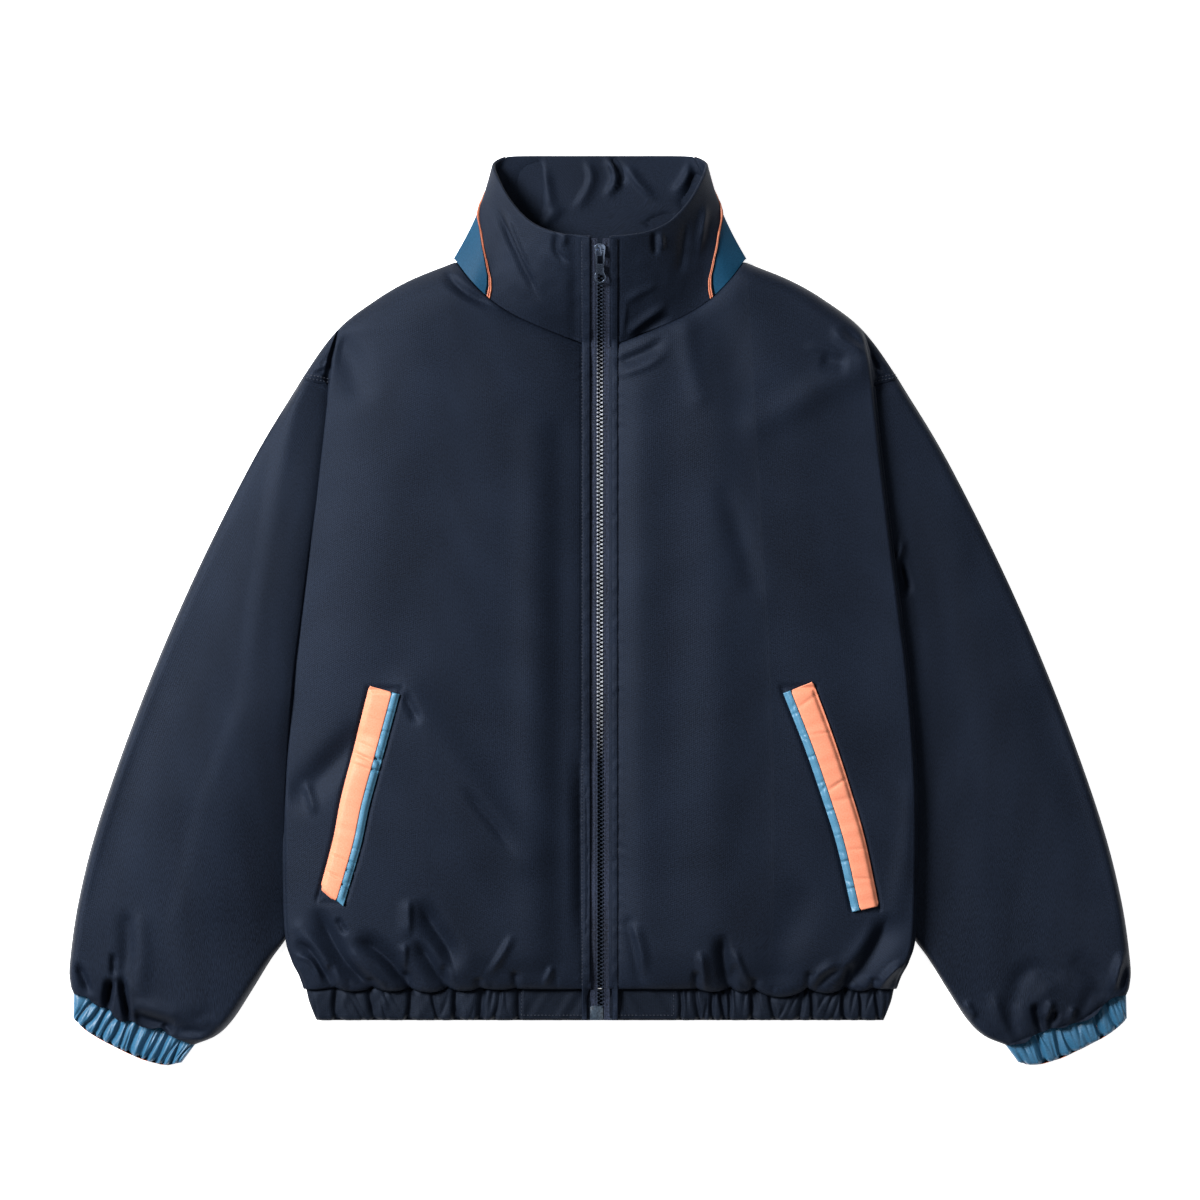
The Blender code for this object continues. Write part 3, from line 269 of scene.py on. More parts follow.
# Die-cast zinc: a dull sheen, broken by fine pits from the mould. Where an end colour is given, painted shade
# darkens the plating to it towards both ends of the part, past a distance from a middle line along y.
def castMetal(slot, name, colour, roughness, pitMm, endShade=None, metallic=1.0):
    look, tree, principled = newMaterial(name, {"Base Color": linear(colour), "Metallic": metallic})
    place = addNode(tree, "ShaderNodeTexCoord").outputs["Object"]
    # painted shade: the colour darkens towards both ends
    if endShade:
        axes = addNode(tree, "ShaderNodeSeparateXYZ", {}, {}, {"Vector": place})
        offset = addMath(tree, "SUBTRACT", {1: endShade["middle"] * mm}, {0: axes.outputs["Y"]})
        limits = {"From Min": endShade["from"] * mm, "From Max": endShade["to"] * mm}
        share = addRange(tree, addMath(tree, "ABSOLUTE", {}, {0: offset}), limits)
        addTint(tree, principled, colour, endShade["colour"], share)
    pits = addNoise(tree, place, 1 / (pitMm * mm))
    wear = addRange(tree, pits, {"To Min": roughness - 0.06, "To Max": roughness + 0.1})
    tree.links.new(wear, principled.inputs["Roughness"])
    tree.links.new(addBump(tree, pits, 0.05, 0.5), principled.inputs["Normal"])
    return slot, look


# Soft plastic: cloudy streaks in its colour, and small flow marks that break up its shine.
def cloudyPlastic(slot, name, colour, shade, shader, grainMm):
    look, tree, principled = newMaterial(name, shader)
    place = addNode(tree, "ShaderNodeTexCoord").outputs["Object"]
    streaks = addNoise(tree, place, 1 / (grainMm * mm), 3.0, 0.65)
    addTint(tree, principled, shade, colour, addRange(tree, streaks, {"From Min": 0.35, "From Max": 0.65}))
    tree.links.new(addBump(tree, streaks, 0.3, 0.7), principled.inputs["Normal"])
    return slot, look


# Brushed polyester pongee: nearly matt, with a bluish bloom where it turns to the light. Its threads, about
# 0.15 mm, are drawn at 0.9 mm so that the weave shows.
pongee = {"Roughness": 0.6, "Specular IOR Level": 0.13, "Specular Tint": linear("#c3d3f2")}
navyPongee = wovenCloth("navy_shell", "navyPongee", "#161d2a", "#070a11", 0.9, pongee, 0.09, 0.11)
navyBand = wovenCloth("navy_band", "navyBandPongee", "#131924", "#070a10", 0.9, pongee, 0.09, 0.11)


# Polyester satin: floating threads give it a brighter, tighter shine. They are drawn at 0.7 mm.
def satin(slot, name, colour, shade, roughness, specular, depth):
    shader = {"Roughness": roughness, "Specular IOR Level": specular}
    return wovenCloth(slot, name, colour, shade, 0.7, shader, depth, depth)


blueSatin = satin("blue_satin", "blueSatin", "#4a7c98", "#3b6a86", 0.45, 0.4, 0.05)
# the collar back's satin is a darker copy of the blue satin: the collar's shade is painted into it
shadedSideSatin = satin("blue_satin", "shadedSideSatin", "#17405a", "#0f3046", 0.5, 0.06, 0.05)
cuffSatin = satin("blue_satin", "cuffSatin", "#2f6080", "#204b66", 0.42, 0.4, 0.05)
orangeSatin = satin("orange_satin", "orangeSatin", "#dd8c70", "#d27d5e", 0.55, 0.2, 0.04)
# the piping's satin is a darker copy of the orange satin: the collar's shade is painted into it
shadedPipingSatin = satin("orange_satin", "shadedPipingSatin", "#bd7356", "#a56047", 0.45, 0.4, 0.03)
# Woven polyester zip tape: matt and coarse, threads drawn at 0.8 mm.
tapeShader = {"Roughness": 0.8, "Specular IOR Level": 0.2}
zipTape = wovenCloth("zip_tape_black", "zipTape", "#2b3347", "#020305", 0.8, tapeShader, 0.16, 0.1)
# Spun polyester sewing thread: matt, with a small highlight on each stitch.
threadShader = {"Roughness": 0.55}
navyThread = wovenCloth("navy_shell", "navyThread", "#1e2636", "#151b28", 0.2, threadShader, 0.02, 0.02)
# Plated zinc: teeth and slider.
# painted shade on the teeth: their colour darkens to this one towards both ends of the zip
paintedEndShade = {"colour": "#343d4c", "middle": 52.0, "from": 118.0, "to": 178.0}
brightTeeth = castMetal("zip_teeth_grey", "platedTeeth", "#ccd1da", 0.36, 0.6, paintedEndShade, 0.72)
gunmetal = castMetal("gunmetal", "gunmetalZinc", "#76849b", 0.26, 0.5)
# Polyurethane film on the foot of the tapes, clear and glossy, and the nylon box that they slot into.
filmShader = {"Roughness": 0.22, "Alpha": 0.8}
clearFilm = cloudyPlastic("clear_film", "clearFilm", "#3f5468", "#233041", filmShader, 2.0)
mouldedBox = cloudyPlastic("clear_film", "mouldedBox", "#36434f", "#1a222d", {"Roughness": 0.3}, 1.6)
print("materials made")

# ---- cloth grids


# A shell from a grid: place takes the two shares and gives x, y and z.
def clothGrid(name, nodes, surface, across, along, place, facing="up", closed=False):
    bm = bmesh.new()
    bmesh.ops.create_grid(bm, x_segments=len(across) - 1, y_segments=len(along) - 1, size=1)
    mesh = bpy.data.meshes.new(name)
    bm.to_mesh(mesh)
    bm.free()
    flat = np.empty(len(mesh.vertices) * 3)
    mesh.vertices.foreach_get("co", flat)
    flat = flat.reshape(-1, 3)
    column = np.rint((flat[:, 0] + 1) / 2 * (len(across) - 1)).astype(int)
    row = np.rint((flat[:, 1] + 1) / 2 * (len(along) - 1)).astype(int)
    u, v = np.meshgrid(np.array(across, float), np.array(along, float))
    points = np.stack(np.broadcast_arrays(*place(u, v)), axis=-1) * mm
    mesh.vertices.foreach_set("co", points[row, column].ravel())
    # the piece's own map, in metres of cloth
    runU = np.zeros(u.shape)
    runU[:, 1:] = np.cumsum(np.linalg.norm(np.diff(points, axis=1), axis=2), axis=1)
    runV = np.zeros(u.shape)
    runV[1:] = np.cumsum(np.linalg.norm(np.diff(points, axis=0), axis=2), axis=0)
    corner = np.empty(len(mesh.loops), int)
    mesh.loops.foreach_get("vertex_index", corner)
    uv = mesh.uv_layers.new(name="cloth")
    values = np.stack([runU[row, column], runV[row, column]], axis=-1)[corner]
    uv.data.foreach_set("uv", values.ravel())
    mesh.update()
    bm = bmesh.new()
    bm.from_mesh(mesh)
    if closed:
        bmesh.ops.remove_doubles(bm, verts=bm.verts, dist=1e-7)
    if facing == "out":
        inward = bm.calc_volume(signed=True) < 0
    else:
        rise = sum(face.normal.z * face.calc_area() for face in bm.faces)
        inward = rise < 0 if facing == "up" else rise > 0
    if inward:
        bmesh.ops.reverse_faces(bm, faces=bm.faces)
    return finishPiece(name, bm, "jacket", nodes, surface, mesh)


def finishPiece(name, bm, body, nodes, surface, mesh=None):
    slot, look = surface
    mesh = mesh or bpy.data.meshes.new(name)
    bm.to_mesh(mesh)
    bm.free()
    mesh.materials.append(look)
    mesh.shade_smooth()
    piece = bpy.data.objects.new(name, mesh)
    bpy.context.scene.collection.objects.link(piece)
    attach(piece, body)
    if nodes:
        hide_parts(*nodes)
    return piece


# ---- outlines and heights of the body and the sleeves

outlinePoints = [(121.5, 294), (160, 278.5), (190, 261), (221, 236.5), (250.5, 196), (292, 127), (342.5, 26),
                 (385, -74), (421, -175), (438.5, -243), (446, -296), (445.5, -315), (443, -323)]
necklinePoints = [(8, 222), (28, 229.5), (49, 238), (73, 249), (94, 263), (110, 279), (121.5, 294)]
bodySide = [(221, 236.5), (227.5, 200), (236.5, 119), (250, 10), (259, -63), (265, -150), (265, -220),
            (263, -273), (257.6, -294), (251.5, -306), (247.5, -317.5), (245, -328), (240, -341),
            (238.5, -344)]
sleeveInnerPoints = [(263, -273), (277, -293), (293, -319), (309, -343.5), (323, -357), (341, -364.5)]

outline = SmoothLine(outlinePoints)
neckline = SmoothLine(necklinePoints)
sideLine = SmoothLine(bodySide)
sleeveInner = SmoothLine(sleeveInnerPoints)
cuffSeam = SmoothLine([(443, -323), (424, -330), (405, -343), (384, -350), (362, -357), (341, -364.5)])
cuffEdge = SmoothLine([(443.5, -343), (429, -355), (407, -367), (386, -376.5), (366, -381.4), (352, -379.5)])

body = {
    "edgeZ": 7.5, "loft": 22.0, "crown": 3.0, "zipDip": 7.5, "zipDipReach": 27.0, "zipEdge": 8.0,
    "shoulderRound": 15.0, "neckRound": 16.0, "neckDrop": 0.2, "hemZ": 11.5, "hemRound": 36.0,
    "sideDrop": 0.2, "sideRound": 3.5, "sideFall": {"right": 9.0, "left": -2.5},
    "sideReach": {"right": 75.0, "left": 45.0}, "hemSeamY": -317.5, "hemY": -344.0, "topY": 236.5,
    "stitchX": 15.0, "armholeY": 196.0, "capBottomY": 189.5, "capX": (226.0, 251.0), "capY": (190.0, 195.0),
    "underRound": 12.0, "rollRadius": 3.0,
}
sleeve = {
    # at each level in y: height beside the body, height further out, and how soon one turns into the other
    "round": 8.0, "levels": (-260, -240, -158, -74, 10, 127, 196),
    "right": {"low": (5, 6, 12, 17, 15, 13.5, 14), "crest": (26, 26, 26, 24, 21.5, 17, 16),
              "reach": (42, 38, 28, 14, 14, 12, 10)},
    "left": {"low": (12, 12, 14, 15, 15, 15, 14), "crest": (9, 8, 6, 6, 6, 9, 12),
             "reach": (20, 20, 26, 26, 26, 24, 20)},
    # the fall towards the outline, and the slope up from the body
    "fall": {"right": 8.0, "left": 1.5}, "climb": {"right": 0.0, "left": 0.06},
    "tuck": 6.0, "cuffMeetZ": 12.0, "cuffRound": 30.0, "crotchY": -273.0, "underarmY": -45.0, "seamDip": 1.6,
}

# the points where the band's gathers pinch the fronts, and how far the seam sags before the next one
hemPinches = [(-262, 1.5), (-222, 3.5), (-191, 3.2), (-160, 4.2), (-128, 3.0), (-101, 2.0), (-70, 0.3),
              (-8, 0), (8, 0.3), (80, 3.6), (110, 3.8), (129, 8.5), (174, 5.0), (206, 3.4), (229, 1.5),
              (256, 0)]

bodyFolds = [
    # wearer's right: lower edge, from the side seam to the zip
    crease([(-258, -276), (-244, -284), (-232, -302), (-225, -318)], -3.4, 11, 7, "root"),
    crease([(-257, -288), (-242, -294), (-231, -316)], 1.6, 4, 4),
    crease([(-240, -246), (-230, -266), (-218, -288), (-205, -304), (-191, -318)], -5.2, 16, 12, "root"),
    swell([(-252, -266), (-236, -286), (-219, -312)], 1.6, 6),
    crease([(-221, -256), (-212, -272)], -1.6, 5, 5),
    crease([(-208, -275), (-192, -281), (-176, -294), (-161, -314)], -4.6, 10, 16, "root"),
    swell([(-206, -290), (-192, -304), (-176, -318)], 1.8, 6),
    crease([(-160, -238), (-160, -262), (-160, -276)], 1.6, 12, 5),
    crease([(-154, -240), (-140, -264), (-127, -284), (-120, -308)], -5.0, 15, 17),
    crease([(-163, -276), (-164, -302)], 1.6, 8, 4),
    crease([(-156, -274), (-142, -294), (-128, -318)], -4.2, 13, 9, "root"),
    crease([(-72, -268), (-82, -287), (-96, -308)], 1.7, 5, 7),
    crease([(-39, -295), (-48, -316)], 1.6, 4, 6),
    swell([(-100, -300), (-70, -303), (-40, -301)], -1.2, 9),
    crease([(-17, -100), (-16, -200), (-15.6, -302)], -2.4, 12, 2),
    # pocket dent and the creases beside it
    swell([(-205, -108), (-227, -131), (-248, -152)], -4.2, 12),
    crease([(-248, -140), (-238, -172)], 1.5, 8, 8),
    crease([(-166, -66), (-150, -96)], -2.0, 8, 8),
    swell([(-160, -70), (-118, -133), (-64, -205)], 2.6, 17),
    crease([(-118, -143), (-92, -175), (-68, -206)], -1.6, 8, 10),
    swell([(-56, 150), (-56, -74), (-56, -290)], 1.4, 15),
    swell([(-34, 150), (-34, -74), (-34, -290)], -1.6, 11),
    swell([(-222, 230), (-210, 211), (-204, 190)], -2.8, 13),
    crease([(-137, 290), (-124, 277), (-111, 266), (-84, 253)], -2.4, 7, 7),
    # wearer's left: chest
    crease([(8, 206), (24, 212), (42, 220), (58, 232)], -1.7, 9, 5, round=1.5),
    crease([(12, 198), (38, 205), (60, 219)], 0.8, 5, 8, round=1.2),
    swell([(72, 238), (75, 211), (83, 180)], 1.4, 9),
    swell([(100, 240), (112, 215), (112, 190)], -1.6, 18),
    swell([(229, 214), (211, 200), (186, 188), (164, 174), (132, 158)], 2.4, 13),
    crease([(183, 213), (197, 209), (210, 207)], -1.4, 14, 10, round=1.5),
    crease([(168, 222), (189, 221), (207, 212)], 0.7, 6, 6),
    crease([(193, 240), (206, 225), (225, 216)], 1.3, 9, 8),
    crease([(202, 240), (218, 227), (236, 217)], -1.3, 7, 7),
    swell([(106, 96), (118, 60), (128, 24)], -1.6, 10),
    # wearer's left: long soft bands and the lower edge
    swell([(31, 180), (31, -74), (31, -290)], 0.5, 12),
    swell([(60, 180), (60, -74), (57, -290)], -1.0, 19),
    swell([(99, 180), (99, -74), (97, -260)], 0.9, 16),
    swell([(143, 180), (143, -74), (141, -240)], -0.9, 22),
    crease([(25, -256), (33, -280), (38, -308)], 2.0, 6, 9),
    swell([(25, -262), (30, -290), (34, -316)], -1.6, 5),
    crease([(84, -282), (86, -300), (88, -318)], 2.4, 6, 8, "root"),
    crease([(103, -268), (104, -292), (108, -318)], -4.6, 13, 7, "root"),
    crease([(112, -280), (118, -298), (128, -316)], 1.6, 7, 5),
    swell([(168, -244), (152, -280), (146, -320)], -2.6, 17, "root"),
    crease([(201, -292), (184, -303), (173, -318)], 1.5, 8, 9, "root"),
    crease([(207, -298), (192, -306), (177, -322)], -1.7, 6, 9, "root"),
    crease([(244, -250), (233, -276), (221, -296), (206, -318)], -4.4, 13, 22, "root"),
    swell([(228, -268), (214, -288), (196, -304)], 1.4, 7),
    crease([(258, -292), (244, -303), (232, -320)], 2.6, 7, 6, "root"),
    crease([(263, -296), (250, -309), (238, -324)], -2.6, 6, 6, "root"),
    swell([(262, -150), (257, -200), (247, -250)], 1.2, 9),
]

sleeveFolds = [
    # shoulder caps, over the armhole seam
    crease([(-226, 212), (-232, 205), (-240, 202)], 1.5, 3, 3),
    crease([(-229, 208), (-235, 202), (-243, 200)], -1.3, 3, 3),
    crease([(-246, 203), (-236, 198), (-229, 194)], 1.2, 3, 3),
    crease([(-231, 228), (-236, 215), (-240, 206)], 1.2, 5, 4),
    crease([(226, 218), (232, 208), (239, 203)], -1.7, 3, 3),
    crease([(229, 203), (240, 199)], 1.4, 3, 3),
    crease([(233, 214), (243, 206)], 1.2, 3, 3),
    # wearer's right, above the cuff
    crease([(-408, -285), (-408, -308)], -2.2, 4, 4),
    crease([(-409.5, -306), (-412, -320), (-415, -338)], -6.5, 7, 5, "root"),
    crease([(-402, -304), (-399, -322), (-396, -344)], -6.5, 5, 6, "root"),
    crease([(-403, -303), (-397, -325), (-390, -347)], 1.6, 4, 6, "root"),
    swell([(-396, -262), (-396, -284), (-399, -304)], -2.6, 7),
    swell([(-386, -262), (-384, -290), (-386, -316)], 1.6, 8),
    swell([(-386, -341), (-374, -345), (-362, -347)], -4.5, 5),
    swell([(-384, -330), (-374, -333), (-360, -338)], 2.0, 6),
    crease([(-368, -346), (-358, -356)], -2.6, 5, 5),
    crease([(-443, -294), (-434, -306), (-427, -325)], -3.0, 8, 7),
    swell([(-352, -352), (-336, -353), (-324, -351)], -2.4, 6),
    swell([(-356, -361), (-346, -358), (-336, -359)], 1.4, 4),
    swell([(-343, -344), (-331, -338)], -1.2, 7),
    # wearer's left, above the cuff
    swell([(345, -352), (348, -322), (356, -306)], -1.8, 8),
    swell([(352, -306), (365, -299), (380, -305)], -1.2, 7),
    swell([(369, -325), (378, -315)], 1.2, 7),
    swell([(352, -334), (360, -350)], 1.2, 5),
    crease([(365, -327), (367, -338), (371, -352)], -3.6, 6, 5, "root"),
    crease([(330, -317), (335, -338), (347, -362)], 1.4, 10, 9, "root"),
    crease([(306, -326), (316, -343)], 1.6, 6, 6),
    crease([(442, -282), (434, -302), (430, -322)], 2.8, 8, 7),
    crease([(443, -294), (438, -322)], -3.4, 6, 6),
    crease([(379, -324), (374, -344)], 2.4, 6, 7),
    crease([(383, -334), (379, -350)], -3.2, 7, 5, "root"),
    crease([(398, -330), (394, -346)], 1.8, 6, 5),
    swell([(405, -296), (416, -306), (420, -318)], -2.4, 9),
    swell([(410, -322), (405, -338)], -1.8, 6, "root"),
    # wearer's left, underarm
    crease([(250, 46), (254, 31), (260, 12)], -3.6, 10, 7),
    crease([(256, 62), (251, 46), (246, 28)], 1.8, 6, 6),
    # long soft folds of both sleeves
    swell([(-300, 60), (-330, -40), (-340, -150)], 0.4, 26),
    swell([(302, 40), (330, -40), (338, -160)], 0.4, 26),
    swell([(-372, -70), (-398, -150), (-420, -230)], -1.0, 16),
    swell([(372, -80), (398, -160), (418, -236)], -1.0, 16),
    swell([(-300, -150), (-330, -230), (-336, -300)], 0.5, 18),
    swell([(300, -160), (322, -230), (330, -290)], 0.6, 18),
]

# hem band: place of each gather at mid height, how far it leans to the edge, its depth and half width
hemGathers = {
    "right": [(-240, 5, 0.8, 3), (-222, 1, 3.6, 7), (-213, 12, 0.9, 3), (-206, 15, 1.0, 3),
              (-200, 14, 0.8, 3), (-192, 3, 3.2, 7), (-184, 12, 1.0, 3), (-176, 14, 1.1, 3),
              (-169, 13, 0.8, 3), (-160, -2, 3.6, 7), (-151, 8, 0.9, 3), (-139, 3, 2.1, 4),
              (-131, -9, 1.0, 3), (-121, 1, 4.0, 7), (-113, 8, 1.1, 3), (-106, -6, 0.9, 3),
              (-99, -1, 3.8, 6), (-92, -6, 1.2, 3), (-86, -4, 2.2, 4), (-78, 6, 0.9, 3), (-68, -2, 3.0, 5)],
    "left": [(68, 1, 2.6, 3), (74, 4, 1.2, 2.5), (82, 2, 2.6, 4), (89, -3, 1.2, 3), (95, 1, 3.0, 4),
             (103, 1, 3.4, 5), (109, 1, 3.0, 4), (115, 5, 1.0, 3), (121, -5, 1.2, 3), (128, 1, 3.4, 6),
             (136, 8, 1.1, 3), (145, 2, 2.6, 5), (154, -8, 1.2, 3), (161, -9, 1.2, 3), (170, -6, 2.4, 5),
             (178, 2, 2.8, 4), (185, -11, 1.8, 3), (192, -12, 1.7, 3), (199, -6, 1.2, 3), (205, 1, 3.6, 5),
             (212, -8, 1.7, 3), (219, 2, 2.4, 4), (226, -8, 1.6, 3), (233, 1, 2.8, 4), (240, -2, 1.8, 3)],
}
# how far the sleeve hangs over the cuff along the seam, from its outer end
cuffWaves = {
    "right": [(0, -2), (0.12, -3.5), (0.165, 0.5), (0.23, 0), (0.31, -4.5), (0.365, 0.3), (0.435, 0.3),
              (0.5, -4), (0.575, -0.8), (0.65, -1.5), (0.72, -6), (0.78, -1.4), (0.84, -0.6), (1, 0)],
    "left": [(0, -1), (0.11, -3), (0.18, -0.5), (0.265, 3), (0.365, 2.2), (0.47, -0.4), (0.545, 1.6),
             (0.63, -1.4), (0.7, -0.5), (0.775, -0.6), (0.855, 3.8), (0.98, 0.7), (1, 0)],
}


def cuffWave(side, u):
    shares, offsets = np.array(cuffWaves[side], float).T
    fine = np.linspace(0, 1, 201)
    smooth = np.convolve(np.pad(np.interp(fine, shares, offsets), 5, mode="edge"), np.ones(11) / 11, "valid")
    return np.interp(u, fine, smooth)


# pocket welts: their two strips meet along a slanting, slightly bowed seam, and the cloth sinks around them
welt = {"wide": (20.0, 16.5), "narrow": 6.6, "ditch": 2.2, "ditchWidth": 2.2, "lift": 2.4,
        "slant": {"right": 0.04, "left": 0.0}, "seamGap": 0.15}
weltSeams = {
    "right": [(174, -67.5), (188, -119), (199.5, -161), (207, -196), (220.5, -242)],
    "left": [(159.6, -66), (178, -113), (192.5, -155), (205, -195), (217.6, -250)],
}


def weltDitch(x, y):
    total = np.zeros_like(x)
    for side, sign in sides.items():
        line = SmoothLine(weltSeams[side]).points
        low, high = line.min(0) - 30, line.max(0) + 30
        near = (sign * x > low[0]) & (sign * x < high[0]) & (y > low[1]) & (y < high[1])
        if not near.any():
            continue
        px, py = sign * x[near], y[near]
        down = np.clip((line[0, 1] - py) / (line[0, 1] - line[-1, 1]), -0.2, 1.2)
        across = px - np.interp(-py, -line[:, 1], line[:, 0])
        wide = mix(*welt["wide"], down)
        middle, half = (wide - welt["narrow"]) / 2, (wide + welt["narrow"]) / 2
        pastEnds = np.maximum(py - line[0, 1] - 2, line[-1, 1] - py - 3)
        beyond = np.maximum(np.abs(across - middle) - half, pastEnds)
        depth = welt["ditch"] * (1 - 0.8 * softStep((down - 0.98) / 0.04))  # the lower end stays nearly flat
        total[near] -= depth * np.exp(-((beyond / welt["ditchWidth"]) ** 2))
    return total


def sideX(y):
    return np.where(y >= body["topY"], outline.crossing(1, y), sideLine.crossing(1, y))


def hemSeamY(x):
    places = np.array([place for place, _ in hemPinches], float)
    i = np.clip(np.searchsorted(places, x) - 1, 0, len(places) - 2)
    share = clamp((x - places[i]) / (places[i + 1] - places[i]))
    sag = np.array([sag for _, sag in hemPinches])[i]
    return body["hemSeamY"] + 1.5 - sag * np.sin(np.pi * share) ** 0.8 - 1.2 * (sag < 0.5)


# Creases that each pinch of the gathered band sends up into the fronts, and short ones between them.
def hemPuckers():
    found = []
    for i, ((x, sag), (after, _)) in enumerate(zip(hemPinches, hemPinches[1:])):
        if abs(x) < 60:
            continue
        lean = 0.28 * x / 250
        length = 17 + 7 * math.sin(2.1 * i)
        found.append(crease([(x + lean * length, -317 + length), (x, -317)], -2.1, 6, 6, "root"))
        if after < 0 or x > 70:
            middle = x + (after - x) * (0.45 + 0.12 * math.sin(3.3 * i))
            length = 9 + 4 * math.sin(1.3 * i)
            top = (middle + lean * length, -317 - sag + length)
            found.append(crease([top, (middle, -318 - sag)], -0.6, 4, 4, "root"))
    return found


bodyFolds += hemPuckers()


# The body's level at a distance from the zip, before its edges are rounded.
def bodyLoft(half, edge):
    crown = body["crown"] * np.sin(np.pi * clamp(half / edge))
    return body["loft"] + crown - body["zipDip"] * np.exp(-((half / body["zipDipReach"]) ** 2))


def bodyTop(x, y):
    half = np.abs(x)
    edge = sideX(y)
    full = bodyLoft(half, edge)
    nearSide = clamp(1 - (edge - half) / bySide(x, body["sideReach"]))
    full = full - bySide(x, body["sideFall"]) * nearSide**2
    toOutline = outline.distance(half, y)
    height = mix(body["edgeZ"], full, quarterRound(toOutline / body["shoulderRound"]))
    nearNeck = 1 - quarterRound(neckline.distance(half, y) / body["neckRound"])
    height = height * (1 - body["neckDrop"] * nearNeck * mix(0.25, 1, softStep((half - 12) / 5)))
    # the seam's own arcs matter less and less further up
    seam = mix(hemSeamY(x), body["hemSeamY"], softStep((y - body["hemSeamY"]) / 16))
    aboveHem = y - seam
    height = mix(np.minimum(height, body["hemZ"]), height, quarterRound(aboveHem / body["hemRound"]))
    height = height * (1 - body["sideDrop"] * (1 - quarterRound((edge - half) / body["sideRound"])))
    relief = foldHeight(x, y, bodyFolds) + 0.35 * crumple(x, y, 1.3) + weltDitch(x, y)
    # the line of topstitching beside the zip pulls the cloth down and puckers it
    fromStitch = half - body["stitchX"]
    relief = relief - 0.8 * np.exp(-((fromStitch / 1.4) ** 2))
    pull = 0.2 + 0.8 * softStep(0.5 + 0.5 * np.sin(y / 17.0 + np.sign(x)) * np.sin(y / 41.0))
    relief = relief + 0.3 * pull * ripple(y + 0.5 * half, 13, 1.0) * np.exp(-((fromStitch / 6) ** 2))
    relief = relief * softStep(toOutline / 14) * mix(0.45, 1, softStep(aboveHem / 14))
    return height + relief * mix(0.5, 1, softStep((edge - half) / 9))


def sleeveTop(x, y):
    half = np.abs(x)
    beyond = half - sideX(np.maximum(y, body["hemY"]))
    toOutline = outline.distance(half, y)
    low, crest, reach = (
        bySide(x, {side: np.interp(y, sleeve["levels"], sleeve[side][key]) for side in sides})
        for key in ("low", "crest", "reach")
    )
    full = mix(low, crest, 1 - np.exp(-beyond / reach)) + bySide(x, sleeve["climb"]) * beyond
    past = np.maximum(beyond - 2 * reach, 0)
    full = full - bySide(x, sleeve["fall"]) * past / np.maximum(past + toOutline, 1) * softStep(past / 20)
    free = softStep((sleeve["crotchY"] + 12 - y) / 24)
    free = free * (1 - quarterRound(sleeveInner.distance(half, y) / sleeve["round"]))
    full = mix(full, np.minimum(full, body["edgeZ"]), free)
    height = mix(body["edgeZ"], full, quarterRound(toOutline / sleeve["round"]))
    toCuff = cuffSeam.distance(half, y)
    height = mix(np.minimum(height, sleeve["cuffMeetZ"]), height, quarterRound(toCuff / sleeve["cuffRound"]))
    relief = foldHeight(x, y, sleeveFolds) + 0.35 * crumple(x, y, 3.7)
    return height + relief * softStep(toOutline / 12) * mix(0.5, 1, softStep(toCuff / 12))


def turnedUnder(y):
    return softStep((body["armholeY"] - y) / 12)


# Past the side line: where the shoulder cap's cloth goes, and whether the place is on the cap.
def shoulderCap(edge, sideY, rimShare):
    above = sideY - body["capBottomY"]
    share = clamp(above / (body["armholeY"] - body["capBottomY"]))
    capX = mix(edge, mix(edge, outline.crossing(1, sideY), share), rimShare)
    return capX, softStep((above + 1) / 2.5)


# ---- fronts

front = {"columns": 205, "rimColumns": 24, "zipColumns": 5, "zipRadius": 1.3, "zipDrop": 3.4}


def frontRows():
    top = np.array([0, 0.2, 0.5, 1, 1.7, 2.6, 3.8, 5.4, 7.4, 9.8, 12.6])
    steps = ((14.4, 80, 1.8), (80, 290, 3.2), (290, 460, 2.2), (460, 552.5, 1.05))
    return np.concatenate([top, *(np.arange(*step) for step in steps), [552.5, 553.4, 554]]) / 554


# Plan position on a front at a share across and a share down; u over 1 is the rim beyond the side.
def frontPlan(u, share):
    sideY = body["topY"] - share * (body["topY"] - body["hemSeamY"])
    edge = sideX(sideY)
    inner = clamp(u)
    start = mix(body["zipEdge"], bodySide[0][0], inner)
    top = np.where(start < necklinePoints[-1][0], neckline.crossing(0, start), outline.crossing(0, start))
    x = mix(body["zipEdge"], edge, inner)
    return x, top, sideY, edge


